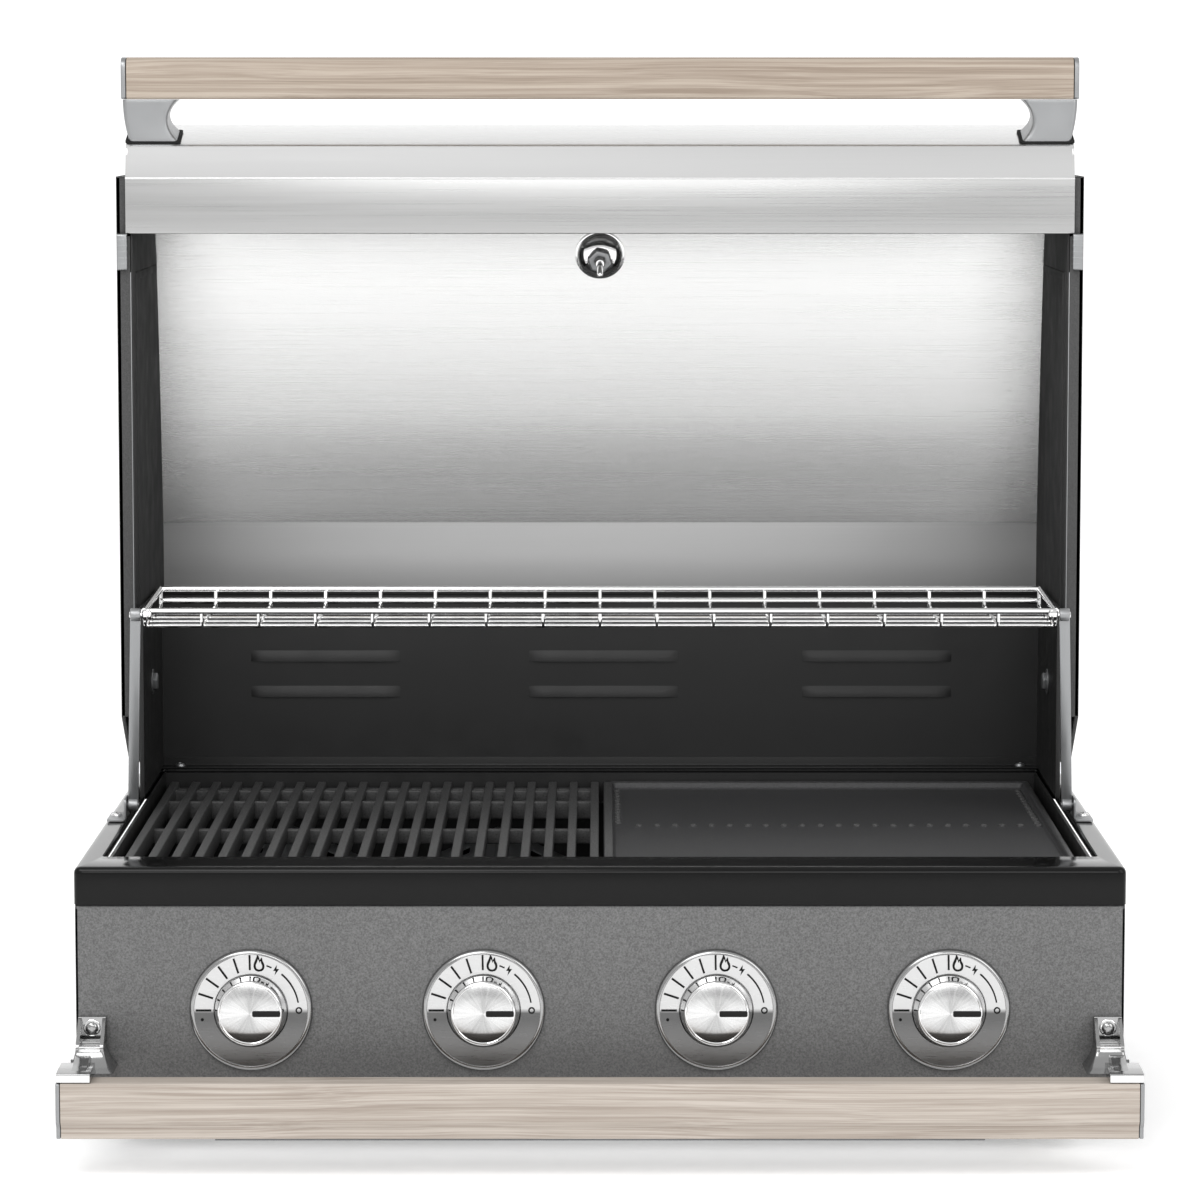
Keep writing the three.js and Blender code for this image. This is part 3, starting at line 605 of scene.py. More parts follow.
class Coatings(Enum):
    """Every finish on the barbecue."""

    ENAMEL = Finish("black_gloss_enamel", (0.004, 0.004, 0.004), 0.1, sheen=0.17)
    DULL_ENAMEL = Finish("black_satin_enamel", (0.016, 0.016, 0.016), 0.4, sheen=0.3)
    FASCIA = Speckled("charcoal_flake_paint", (0.119, 0.119, 0.119), 0.5, 0.3)
    CHARCOAL = Speckled("charcoal_satin_paint", (0.05, 0.05, 0.05), 0.5, sheen=0.3, flake=1500.0)
    # the stainless carries a painted shade: darker below 0.68 m, down to 0.46 of its tone at 0.43 m
    STAINLESS = Brushed("brushed_stainless", (0.88, 0.88, 0.875), 0.24, 1.0, fade=(0.43, 0.68, 0.46))
    # painted shade: the nose, lip, bevel and the inner face of the rear skirt are darker copies of the hood's
    # one brushed stainless sheet
    NOSE = Brushed("brushed_nose", (0.68, 0.68, 0.678), 0.26, 1.0)
    LIP = Brushed("brushed_lip", (0.45, 0.45, 0.448), 0.3, 1.0)
    BEVEL = Brushed("shaded_brushed_bevel", (0.42, 0.42, 0.42), 0.5, 0.35)
    SKIRT = Brushed("matt_brushed_skirt", (0.43, 0.43, 0.43), 0.45, 0.55)
    LINER = Finish("shaded_charcoal_liner", (0.045, 0.045, 0.045), 0.75, sheen=0.15)
    GALVANISED = Finish("galvanised_sheet", (0.34, 0.35, 0.36), 0.45, 0.85)
    CHROME = Finish("polished_chrome", (0.78, 0.78, 0.78), 0.07, 1.0)
    SILVER = Finish("satin_silver", (0.3, 0.305, 0.31), 0.36, 0.85)
    IRON = Cast("rough_cast_iron", (0.043, 0.043, 0.043), 0.58, 0.1, sheen=0.4)
    GRIDDLE = Cast("smooth_cast_iron", (0.034, 0.034, 0.035), 0.45, 0.1, 0.35, grain=900.0, depth=0.00008)
    WOOD = Timber("pale_ash", (0.53, 0.48, 0.43), 0.6, sheen=0.3, dark=(0.25, 0.205, 0.17))
    GRIP_WOOD = Timber("pale_ash_grip", (0.47, 0.405, 0.34), 0.6, sheen=0.3, dark=(0.22, 0.17, 0.13))
    # painted shade: a darker copy of the polished chrome, worn by the dial edges and the rail brackets'
    # castings and bolts
    SHADED_CHROME = Finish("smoked_chrome", (0.34, 0.34, 0.34), 0.14, 1.0)
    BRASS = Finish("machined_brass", (0.55, 0.4, 0.17), 0.3, 1.0)
    PLASTIC = Finish("black_moulded_plastic", (0.008, 0.008, 0.008), 0.5, sheen=0.2)
    RUBBER = Finish("black_gasket", (0.012, 0.012, 0.012), 0.8, sheen=0.2)
    INK = Finish("dial_ink", (0.008, 0.008, 0.008), 0.6, sheen=0.1)
    PAPER = Finish("gauge_face", (0.75, 0.75, 0.73), 0.5)
    GLASS = Finish("gauge_glass", (0.9, 0.92, 0.92), 0.03, alpha=0.14)
    RED = Finish("gauge_pointer", (0.35, 0.02, 0.015), 0.4)


# ---------------------------------------------------------------- meshes

Coat = Finish | Coatings


def material_of(coat: Coat) -> bpy.types.Material:
    """Returns a finish's material."""
    return (coat.value if isinstance(coat, Coatings) else coat).material()


def soften(mesh: bpy.types.Mesh) -> None:
    """Shades a mesh smooth, with its edges over the limit angle kept sharp."""
    mesh.shade_smooth()
    mesh.set_sharp_from_angle(angle=SMOOTH_ANGLE)


def new_object(name: str, mesh: bpy.types.Mesh, coat: Coat | None = None) -> bpy.types.Object:
    """Links a mesh to the scene as an object at the origin.

    Args:
        name: the object's name.
        mesh: its mesh, whose vertices hold its place.
        coat: its finish, or None where the mesh has its own.

    Returns:
        The object.
    """
    if coat is not None:
        mesh.materials.clear()
        mesh.materials.append(material_of(coat))
    made = bpy.data.objects.new(name, mesh)
    bpy.context.scene.collection.objects.link(made)
    return made


class Shape:
    """Solids gathered in one mesh."""

    def __init__(self) -> None:
        """Starts empty."""
        self.mesh = bmesh.new()

    def rings(self, rings: Sequence[Sequence[Vector]], closed: bool = False, capped: bool = True) -> Shape:
        """Skins a row of closed rings.

        Args:
            rings: rings of the same number of points.
            closed: whether the last ring joins the first.
            capped: whether the two end rings are filled.

        Returns:
            This shape.
        """
        rows = [[self.mesh.verts.new(point) for point in ring] for ring in rings]
        count = len(rows[0])
        pairs = list(zip(rows, rows[1:] + rows[:1])) if closed else list(zip(rows, rows[1:]))
        made = []
        for low, high in pairs:
            for i in range(count):
                j = (i + 1) % count
                made.append(self.mesh.faces.new((low[i], low[j], high[j], high[i])))
        if capped and not closed:
            made += [self.mesh.faces.new(rows[0][::-1]), self.mesh.faces.new(rows[-1])]
        bmesh.ops.recalc_face_normals(self.mesh, faces=made)
        return self

    def prism(self, place: Place, outline: Outline, spans: Sequence[float]) -> Shape:
        """Extrudes a [y, z] outline along X through the given stations."""
        return self.rings([[place(x, y, z) for y, z in outline] for x in spans])

    def plate(self, place: Place, outline: Outline, low: float, high: float) -> Shape:
        """Extrudes an [x, y] outline from one height to another."""
        return self.rings([[place(x, y, z) for x, y in outline] for z in (low, high)])

    def face_plate(self, place: Place, outline: Outline, front: float, back: float) -> Shape:
        """Extrudes an [x, z] outline from one depth to another."""
        return self.rings([[place(x, y, z) for x, z in outline] for y in (front, back)])

    def box(self, place: Place, x: Point, y: Point, z: Point, radius: float = 0.0) -> Shape:
        """Adds a box, with the edges along X rounded.

        Args:
            place: turns a point into a place.
            x: its span across.
            y: its span from front to back.
            z: its span in height.
            radius: the radius of the edges along X.

        Returns:
            This shape.
        """
        corners = [(y[0], z[0]), (y[1], z[0]), (y[1], z[1]), (y[0], z[1])]
        outline = rounded(corners, radius) if radius else corners
        return self.prism(place, outline, sorted(x))

    def lathe(self, centre: Vector, axis: Vector, profile: Outline, sides: int) -> Shape:
        """Turns a closed profile about an axis.

        Args:
            centre: a point on the axis.
            axis: the axis.
            profile: radius and distance along the axis, in millimetres; a radius of 0 is on the axis.
            sides: the number of sides.

        Returns:
            This shape.
        """
        along = axis.normalized()
        side = along.orthogonal().normalized()
        other = along.cross(side)
        rings = []
        for angle in spread(sides + 1, 0.0, math.tau)[:-1]:
            out = side * math.cos(angle) + other * math.sin(angle)
            rings.append([centre + (out * r + along * h) * MM for r, h in profile])
        self.rings(rings, closed=True)
        bmesh.ops.remove_doubles(self.mesh, verts=self.mesh.verts, dist=WELD)
        return self

    def bar(self, start: Vector, end: Vector, radius: float, sides: int = 16) -> Shape:
        """Adds a round bar with slightly broken ends, its radius in millimetres.

        Args:
            start: the middle of one end.
            end: the middle of the other end.
            radius: its radius.
            sides: the number of sides.

        Returns:
            This shape.
        """
        length = (end - start).length / MM
        edge = min(radius * 0.15, length * 0.2)
        profile = [(0, 0), (radius - edge, 0), (radius, edge), (radius, length - edge)]
        return self.lathe(start, end - start, [*profile, (radius - edge, length), (0, length)], sides)

    def break_edges(self, width: float, segments: int = 2, limit: float = 28.0) -> Shape:
        """Bevels the edges whose faces meet at more than a limit.

        Args:
            width: the bevel's width in millimetres.
            segments: its segments.
            limit: the least angle in degrees.

        Returns:
            This shape.
        """
        least = math.radians(limit)
        edges = [e for e in self.mesh.edges if len(e.link_faces) == 2 and e.calc_face_angle(0) > least]
        bmesh.ops.bevel(
            self.mesh,
            geom=edges,
            offset=width * MM,
            segments=segments,
            profile=BEVEL_BULGE,
            affect="EDGES",
            clamp_overlap=True,
        )
        return self

    def done(self, name: str, coat: Coat, bevel: float = 0.0, segments: int = 2) -> bpy.types.Object:
        """Makes the object.

        Args:
            name: the object's name.
            coat: its finish.
            bevel: the width in millimetres of the bevel on its sharp edges.
            segments: the bevel's segments.

        Returns:
            The object.
        """
        if bevel:
            self.break_edges(bevel, segments)
        bmesh.ops.recalc_face_normals(self.mesh, faces=self.mesh.faces)
        mesh = bpy.data.meshes.new(name)
        self.mesh.to_mesh(mesh)
        self.mesh.free()
        soften(mesh)
        return new_object(name, mesh, coat)


# ---------------------------------------------------------------- repeated pieces


class Repeater:
    """Builds and runs the node trees that repeat a shape in rows, or bend wires round corners."""

    ROWS = "rows_of_a_shape"
    WIRES = "rows_of_wire"

    def __init__(self) -> None:
        """Builds both trees."""
        self.trees = {name: self._tree(name, wire=name == self.WIRES) for name in (self.ROWS, self.WIRES)}

    @staticmethod
    def _tree(name: str, wire: bool) -> bpy.types.NodeTree:
        """Builds a tree that repeats its input along a row.

        Args:
            name: the tree's name.
            wire: whether the input is a path that becomes a round wire first.

        Returns:
            The tree.
        """
        tree = bpy.data.node_groups.new(name, "GeometryNodeTree")
        face = tree.interface
        face.new_socket(name="Geometry", in_out="INPUT", socket_type="NodeSocketGeometry")
        sockets = {"Count": "Int", "Step": "Vector", "Radius": "Float", "Bend": "Float", "Sides": "Int"}
        sockets["Material"] = "Material"
        for label, kind in sockets.items():
            face.new_socket(name=label, in_out="INPUT", socket_type="NodeSocket" + kind)
        face.new_socket(name="Geometry", in_out="OUTPUT", socket_type="NodeSocketGeometry")

        def add(kind: str, settings: dict, links: dict) -> bpy.types.Node:
            """Adds a node with its settings and the sockets that feed it."""
            node = tree.nodes.new(kind)
            for key, value in settings.items():
                setattr(node, key, value)
            for key, source in links.items():
                tree.links.new(source, node.inputs[key])
            return node

        given = tree.nodes.new("NodeGroupInput").outputs
        shape = given["Geometry"]
        if wire:
            path = add("GeometryNodeMeshToCurve", {}, {"Mesh": shape}).outputs[0]
            bend = {"Curve": path, "Radius": given["Bend"]}
            fillet = add("GeometryNodeFilletCurve", {"mode": "POLY"}, bend)
            fillet.inputs["Count"].default_value = 4
            fillet.inputs["Limit Radius"].default_value = True
            round_links = {"Radius": given["Radius"], "Resolution": given["Sides"]}
            circle = add("GeometryNodeCurvePrimitiveCircle", {"mode": "RADIUS"}, round_links)
            sweep = {"Curve": fillet.outputs[0], "Profile Curve": circle.outputs[0]}
            tube = add("GeometryNodeCurveToMesh", {}, sweep)
            tube.inputs["Fill Caps"].default_value = True
            shape = tube.outputs[0]
        line_links = {"Count": given["Count"], "Offset": given["Step"]}
        line = add("GeometryNodeMeshLine", {"mode": "OFFSET", "count_mode": "TOTAL"}, line_links)
        copies = add("GeometryNodeInstanceOnPoints", {}, {"Points": line.outputs[0], "Instance": shape})
        real = add("GeometryNodeRealizeInstances", {}, {"Geometry": copies.outputs[0]}).outputs[0]
        smooth = add("GeometryNodeSetShadeSmooth", {}, {"Geometry": real}).outputs[0]
        links = {"Geometry": smooth, "Material": given["Material"]}
        tinted = add("GeometryNodeSetMaterial", {}, links).outputs[0]
        add("NodeGroupOutput", {}, {"Geometry": tinted})
        return tree

    def run(
        self, tree: str, name: str, seed: bpy.types.Mesh, coat: Coat, **values: float | Vector
    ) -> bpy.types.Object:
        """Runs a tree on a mesh and returns the plain result.

        Args:
            tree: the tree's name.
            name: the new object's name.
            seed: the mesh to repeat.
            coat: its finish.
            values: the tree's inputs by name.

        Returns:
            An object with a plain mesh.
        """
        source = bpy.data.objects.new(name + "_source", seed)
        bpy.context.scene.collection.objects.link(source)
        modifier = source.modifiers.new("repeat", "NODES")
        modifier.node_group = self.trees[tree]
        wanted = {"Count": 1, "Step": Vector(), "Radius": MM, "Bend": 0.0, "Sides": 10}
        wanted |= {**values, "Material": material_of(coat)}
        for item in self.trees[tree].interface.items_tree:
            if item.in_out == "INPUT" and item.name in wanted:
                modifier[item.identifier] = wanted[item.name]
        source.update_tag()
        graph = bpy.context.evaluated_depsgraph_get()
        mesh = bpy.data.meshes.new_from_object(source.evaluated_get(graph))
        mesh.name = name
        bpy.data.objects.remove(source)
        mesh.set_sharp_from_angle(angle=SMOOTH_ANGLE)
        return new_object(name, mesh, coat)

    def wire(
        self, name: str, path: Sequence[Vector], coat: Coat, radius: float, **values: float | Vector
    ) -> bpy.types.Object:
        """Returns a wire along a path, repeated as the values say; its radius is in millimetres.

        Args:
            name: the new object's name.
            path: the wire's corners.
            coat: its finish.
            radius: the wire's radius in millimetres.
            values: the tree's inputs by name.

        Returns:
            An object with a plain mesh.
        """
        seed = bpy.data.meshes.new(name + "_path")
        seed.from_pydata([tuple(p) for p in path], [(i, i + 1) for i in range(len(path) - 1)], [])
        return self.run(self.WIRES, name, seed, coat, Radius=radius * MM, **values)

    def rows(self, name: str, shape: Shape, coat: Coat, **values: float | Vector) -> bpy.types.Object:
        """Returns a shape repeated in rows.

        Args:
            name: the new object's name.
            shape: the shape to repeat, which is used up.
            coat: its finish.
            values: the tree's inputs by name.

        Returns:
            An object with a plain mesh.
        """
        seed = bpy.data.meshes.new(name + "_seed")
        shape.mesh.to_mesh(seed)
        shape.mesh.free()
        return self.run(self.ROWS, name, seed, coat, **values)


def join(name: str, parts: Sequence[bpy.types.Object]) -> bpy.types.Object:
    """Joins plain meshes into one object.

    Args:
        name: the new object's name.
        parts: the objects, which are removed.

    Returns:
        The joined object.
    """
    whole = bmesh.new()
    coats: list[bpy.types.Material] = []
    for part in parts:
        first = len(whole.faces)
        coat = part.data.materials[0]
        if coat not in coats:
            coats.append(coat)
        whole.from_mesh(part.data)
        whole.faces.ensure_lookup_table()
        for face in whole.faces[first:]:
            face.material_index = coats.index(coat)
        bpy.data.objects.remove(part)
    mesh = bpy.data.meshes.new(name)
    whole.to_mesh(mesh)
    whole.free()
    for coat in coats:
        mesh.materials.append(coat)
    mesh.set_sharp_from_angle(angle=SMOOTH_ANGLE)
    return new_object(name, mesh)


def fit(piece: bpy.types.Object, body: str, slot: str, *nodes: str) -> bpy.types.Object:
    """Fits a finished piece to the frame.

    Args:
        piece: the piece.
        body: the body that it rides on.
        slot: the name of a material slot; not used.
        nodes: the nodes that it stands for.

    Returns:
        The piece.
    """
    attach(piece, body)
    if nodes:
        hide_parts(*nodes)
    LOG.info("%s: %d faces, on %s", piece.name, len(piece.data.polygons), body)
    return piece


# ---------------------------------------------------------------- hood


@dataclass
class Gauge:
    """The thermometer: its case, dial and glass outside the hood, and its cup, nut and probe inside."""

    base: Vector
    axis: Vector
    marks: int = 31
    hot_from: int = 23
    sweep: Point = (225.0, -45.0)
    pointer: float = 222.0

    def case(self) -> None:
        """Builds the case, with its threaded stem and the probe."""
        base, axis = self.base, self.axis
        case = [(27, 0.8), (30, 0.8), (31.5, 1.8), (32, 3.4), (32, 9.4), (31.2, 11.6), (29.4, 13), (28, 12.8)]
        ring = Shape().lathe(base, axis, [*case, (26.9, 11.4), (26.9, 4), (0, 4), (0, 0.8)], 96)
        thread = []
        for h in spread(12, -13, -29):
            thread += [(4.5, h + 0.5), (3.9, h - 0.2)]
        ring.lathe(base, axis, [(0, 1.5), (4.5, 1.5), *thread, (3.6, -29.8), (0, -30)], 24)
        ring.lathe(base, axis, [(0, -29), (2.5, -29), (2.5, -60), (1.6, -61.7), (0, -62)], 24)
        fit(ring.done("gauge_case", Coatings.CHROME), "hood", "chrome", "thermometer")

    def out(self, degrees: float) -> Vector:
        """Returns the direction from the dial's middle at an angle."""
        right = Vector((1, 0, 0))
        up = self.axis.cross(right).normalized()
        angle = math.radians(degrees)
        return right * math.cos(angle) + up * math.sin(angle)

    def dial(self) -> None:
        """Builds the dial with its marks and pointer, and the glass over them."""
        base, axis = self.base, self.axis
        face = Shape().lathe(base, axis, [(0, 3.9), (26.8, 3.9), (26.8, 9.2), (26.2, 9.6), (0, 9.6)], 96)
        fit(face.done("gauge_dial", Coatings.PAPER), "hood", "chrome")
        marks, hot = Shape(), Shape()
        for i, angle in enumerate(spread(self.marks, *self.sweep)):
            inner, length, width = (20.5, 3.0, 0.26) if i % 5 else (18.5, 5.0, 0.42)
            start = base + self.out(angle) * inner * MM + axis * 9.65 * MM
            line = hot if i >= self.hot_from else marks
            line.bar(start, start + self.out(angle) * length * MM, width, 6)
        hub = base + axis * 10.3 * MM
        ahead = self.out(self.pointer)
        hot.bar(hub - ahead * 5 * MM, hub + ahead * 17 * MM, 0.55, 6)
        marks.lathe(base, axis, [(0, 9.6), (2.6, 9.6), (2.6, 11), (2, 11.3), (0, 11.3)], 24)
        fit(marks.done("gauge_marks", Coatings.INK), "hood", "black_plastic")
        fit(hot.done("gauge_pointer_and_hot_marks", Coatings.RED), "hood", "black_plastic")
        glass = Shape().lathe(base, axis, [(0, 11.5), (26.9, 11.5), (26.9, 11.9), (14, 12.5), (0, 12.7)], 64)
        fit(glass.done("gauge_glass_lens", Coatings.GLASS), "hood", "chrome")

    def inside(self) -> None:
        """Builds the cup and the nut that hold the stem inside the hood."""
        base, axis = self.base, self.axis
        cup = [(5, -2.9), (20, -2.9), (20, -4.6), (19.3, -7.2), (17, -10), (13, -12.4)]
        dome = Shape().lathe(base, axis, [*cup, (9, -13.5), (5, -13.7)], 72)
        dome.lathe(base, axis, [(17.4, -2.4), (21.6, -2.4), (21.6, -3.6), (20.9, -4), (17.4, -4)], 72)
        fit(dome.done("gauge_cup", Coatings.CHROME), "hood", "chrome", "thermometer_cup")
        hexagon = [(5, -16.3), (9.9, -16.3), (11, -17.2), (11, -23.1), (9.9, -24), (5, -24)]
        nut = Shape().lathe(base, axis, hexagon, 6)
        nut.lathe(base, axis, [(4.6, -15.0), (9.6, -15.0), (9.6, -16.3), (4.6, -16.3)], 40)
        fit(nut.done("gauge_nut", Coatings.SILVER, 0.3), "hood", "silver_metal", "thermometer_nut")

    def build(self) -> None:
        """Builds the whole gauge."""
        self.case()
        self.dial()
        self.inside()


@dataclass
class Hood:
    """The turning hood, drawn closed in millimetres and placed open."""

    datum: Datum
    sheet: float = 1.5
    skin_half: float = 396.5
    lip_half: float = 392.0
    panel: Point = (397.0, 400.0)
    handle_half: float = 396.0
    handle_y: Point = (-82.0, -47.5)
    handle_z: Point = (16.0, 52.0)
    hinge: Point = (446.0, 87.0)
    gauge_y: float = 87.0
    foot: Point = (-9.0, 12.0)
    shoulder: Point = (48.0, 212.0)
    crease: Point = (326.0, 268.0)
    skirt: Outline = ((505.0, 268.0), (516.0, 263.0), (521.0, 252.0), (521.0, 192.0))
    nose: float = 16.0
    dish: float = 1.8
    dish_from: float = 334.0
    lip: Outline = ((63.0, 6.5), (63.0, 4.0), (17.0, 4.0))
    bevel: Outline = ((17.6, 4.05), (-8.6, 11.6))
    crease_highlight_bead: tuple[Point, Point] = ((16.8, 18.2), (3.6, 4.6))
    flange: Point = (389.0, 399.6)
    liner: Point = (387.2, 388.6)
    rib: Point = (385.9, 387.6)
    ribs: tuple[tuple[Point, Point], ...] = (
        ((96.0, 430.0), (34.0, 40.0)),
        ((96.0, 102.0), (40.0, 214.0)),
        ((424.0, 430.0), (40.0, 236.0)),
    )
    boss_face: float = 388.0
    pad: Point = (390.8, 399.0)

    def front_wall(self, steps: int = 30) -> list[Point]:
        """Returns the bulging front, from its foot to the shoulder."""
        return bezier(self.foot, (-28, 62), (-52, 170), self.shoulder, steps)

    def roof(self, steps: int = 24) -> list[Point]:
        """Returns the roof, from the shoulder to the crease."""
        return bezier(self.shoulder, (110, 238), (230, 256), self.crease, steps)

    def wall_at(self, z: float) -> float:
        """Returns how far back the front wall stands at a height.

        Args:
            z: the height in millimetres.

        Returns:
            The distance back in millimetres.
        """
        line = self.front_wall()
        for (y0, z0), (y1, z1) in zip(line, line[1:]):
            if z0 <= z <= z1:
                return y0 + (y1 - y0) * (z - z0) / (z1 - z0)
        return line[0][0]

    def folded(self, shape: Shape, line: Outline, half: float, thickness: float) -> None:
        """Adds a folded sheet along a line, from one side to the other."""
        outline = [*line, *reversed(offset_line(line, thickness))]
        shape.prism(self.datum.hood, outline, (-half, half))

    def dished(self, line: Outline, half: float) -> Shape:
        """Returns a sheet along a line whose inner face curves inwards towards its ends.

        Args:
            line: the sheet's outer line.
            half: half its width.

        Returns:
            The sheet as a shape.
        """
        stations = spread(15, self.dish_from, half)
        rings = []
        for x in [-x for x in reversed(stations)] + stations:
            depth = self.dish * ((abs(x) - self.dish_from) / (half - self.dish_from)) ** 2
            outline = [*line, *reversed(offset_line(line, self.sheet + depth))]
            rings.append([self.datum.hood(x, y, z) for y, z in outline])
        return Shape().rings(rings)

    def nose_wall(self) -> list[Point]:
        """Returns the part of the front wall ahead of the side panels."""
        wall = [point for point in self.front_wall() if point[0] < self.nose]
        return [*wall, (self.nose, wall[-1][1] + 3.0)]

    def skin(self) -> None:
        """Builds the stainless skin: its lip, nose, roof and rear skirt."""
        lip = Shape()
        self.folded(lip, ease(self.lip, 1.2), self.lip_half, self.sheet)
        bevel = Shape()
        self.folded(bevel, self.bevel, self.lip_half, self.sheet)
        # the lip, bevel and nose wear darker copies of the stainless as painted shade
        parts = [lip.done("lip", Coatings.LIP, 0.25), bevel.done("bevel", Coatings.BEVEL, 0.2)]
        # painted highlight: a thin bright chrome bar along the fold between the lip and the bevel draws the
        # bright line that the fold catches
        crease = Shape()
        crease.box(self.datum.hood, (-self.lip_half, self.lip_half), *self.crease_highlight_bead, 0.4)
        parts.append(crease.done("crease", Coatings.CHROME))
        wall = self.nose_wall()
        nose = Shape()
        self.folded(nose, wall, self.lip_half, self.sheet)
        for side in SIDES.values():
            end = [(self.nose, 5), (-7, 11), *wall[1:]]
            nose.prism(self.datum.hood, end, sided(side, self.lip_half - 1.6, self.lip_half - 0.05))
        parts.append(nose.done("nose", Coatings.NOSE, 0.25))
        rest = [point for point in self.front_wall() if point[0] >= self.nose]
        above = [*rest, *self.roof()[1:]]
        parts.append(self.dished([wall[-1], *above], self.skin_half).done("roof", Coatings.STAINLESS))
        skirt = ease([above[-1], *self.skirt], 3.0)
        outside = Shape()
        self.folded(outside, skirt, self.skin_half, self.sheet / 2)
        parts.append(outside.done("skirt_outside", Coatings.STAINLESS, 0.25))
        # painted shade: the skirt's inner face takes a darker, duller copy of the stainless
        tail = Shape()
        self.folded(tail, offset_line(skirt, self.sheet / 2), self.skin_half, self.sheet / 2)
        seam = ease([(505, 266.6), (330, 266.4)], 1.0)
        self.folded(tail, seam, self.skin_half - 14, 1.2)
        parts.append(tail.done("skirt", Coatings.SKIRT, 0.25))
        fit(join("hood_shell", parts), "hood", "stainless", "hood_skin")

    def side(self, name: str, side: int) -> None:
        """Builds a side panel with its flanges and hinge boss, and the ribbed liner inside it.

        Args:
            name: the piece's side, left or right.
            side: -1 on the left and 1 on the right.
        """
        shape = Shape()
        top = self.nose_wall()[-1]
        above = [point for point in self.front_wall() if point[0] > self.nose]
        outline = [(self.nose, 8), top, *above, *self.roof()[1:], *self.skirt[:3], (521, 80), (466, 8)]
        shape.prism(self.datum.hood, outline, sorted(side * x for x in self.panel))
        narrow = sided(side, self.lip_half + 0.4, self.flange[1])
        shape.box(self.datum.hood, narrow, (self.nose, self.nose + 2), (8, top[1] - 4), 0.8)
        shape.box(self.datum.hood, narrow, (self.nose, 66), (8, 10), 0.8)
        shape.box(self.datum.hood, sided(side, *self.flange), (65, 466), (8, 10), 0.8)
        centre = self.datum.hood(side * self.boss_face, *self.hinge)
        rings = [(5.3, 0), (12.6, 0), (14, 1.4), (14, 9.2), (16.4, 9.6), (16.4, 10), (5.3, 10)]
        shape.lathe(centre, Vector((side, 0, 0)), rings, 48)
        piece = shape.done(f"hood_cheek_{name}", Coatings.CHARCOAL, 0.5)
        fit(piece, "hood", "charcoal_paint", f"hood_side_{name}")
        lining = Shape().prism(self.datum.hood, grown(outline, -2.6), sided(side, *self.liner))
        for y, z in self.ribs:
            lining.box(self.datum.hood, sided(side, *self.rib), y, z, 1.4)
        fit(lining.done(f"cheek_liner_{name}", Coatings.LINER, 0.3), "hood", "charcoal_paint")
        trim = Shape()
        trim.box(self.datum.hood, sided(side, 388.3, 388.95), (95, 465), (8.1, 9.9))
        fit(trim.done(f"flange_edge_{name}", Coatings.SILVER, 0.1), "hood", "stainless")

    def rest_pad(self, name: str, side: int) -> None:
        """Builds a ribbed pad that the closed hood rests on.

        Args:
            name: the piece's side, left or right.
            side: -1 on the left and 1 on the right.
        """
        inner, outer = self.pad
        pad = Shape()
        pad.box(self.datum.hood, sided(side, inner + 0.2, outer), (63, 93), (0.6, 7.7), 2.2)
        for y in spread(5, 68, 88):
            pad.box(self.datum.hood, sided(side, inner, outer), (y - 0.8, y + 0.8), (0.5, 7.6), 0.7)
        fit(pad.done(f"rest_pad_{name}", Coatings.SILVER, 0.6), "hood", "silver_metal", f"hood_bumper_{name}")

    def grip_outline(self, inset: float = 0.0) -> list[Point]:
        """Returns the rounded section of the handle.

        Args:
            inset: how far it is moved inwards.

        Returns:
            The section, as [y, z] points.
        """
        (y0, y1), (z0, z1) = self.handle_y, self.handle_z
        y0, y1, z0, z1 = y0 + inset, y1 - inset, z0 + inset, z1 - inset
        front = [*arc((y0 + 8, z1 - 8), 8, 90, 180, 7), *arc((y0 + 8, z0 + 8), 8, 180, 270, 7)]
        return [*front, *arc((y1 - 3, z0 + 3), 3, 270, 360, 4), *arc((y1 - 3, z1 - 3), 3, 0, 90, 4)]

    def handle(self) -> None:
        """Builds the wooden grip between its end caps."""
        half = self.handle_half
        grip = Shape().prism(self.datum.hood, self.grip_outline(), (-half + 4.6, half - 4.6))
        fit(grip.done("hood_grip", Coatings.GRIP_WOOD, 0.4), "hood", "wood", "hood_handle")
        for name, side in SIDES.items():
            seam = Shape().prism(self.datum.hood, self.grip_outline(0.9), sided(side, half - 5, half - 3.8))
            fit(seam.done(f"grip_seam_{name}", Coatings.RUBBER), "hood", "black_plastic")
            cap = Shape().prism(self.datum.hood, self.grip_outline(), sided(side, half - 4, half))
            piece = cap.done(f"grip_cap_{name}", Coatings.SILVER, 0.9, 3)
            fit(piece, "hood", "silver_metal", f"handle_cap_{name}")

    def post(self, name: str, side: int) -> None:
        """Builds a cast post from the grip to the front wall, on its gasket.

        Args:
            name: the piece's side, left or right.
            side: -1 on the left and 1 on the right.
        """
        z0, z1 = self.handle_z[0] + 2, self.handle_z[1] - 2
        top = self.handle_y[1] + 0.3
        rings = []
        for t in spread(13, 0.0, 1.0):
            inner = 358 - 8 * (2 * t - 1) ** 2
            outer = 395 - 5 * t**2
            corners = rounded([(inner, z0), (outer, z0), (outer, z1), (inner, z1)], 4, 5)
            ring = []
            for x, z in corners:
                y = top + (self.wall_at(z) - self.sheet - top) * t
                ring.append(self.datum.hood(side * x, y, z))
            rings.append(ring)
        piece = Shape().rings(rings).done(f"grip_post_{name}", Coatings.SILVER, 0.6)
        fit(piece, "hood", "silver_metal", f"handle_post_{name}")
        corners = rounded([(347.5, z0 - 1), (393, z0 - 1), (393, z1 + 1), (347.5, z1 + 1)], 3, 4)
        rings = [[self.datum.hood(side * x, self.wall_at(z) - h, z) for x, z in corners] for h in (1.6, 0.1)]
        fit(Shape().rings(rings).done(f"post_gasket_{name}", Coatings.RUBBER, 0.2), "hood", "black_plastic")

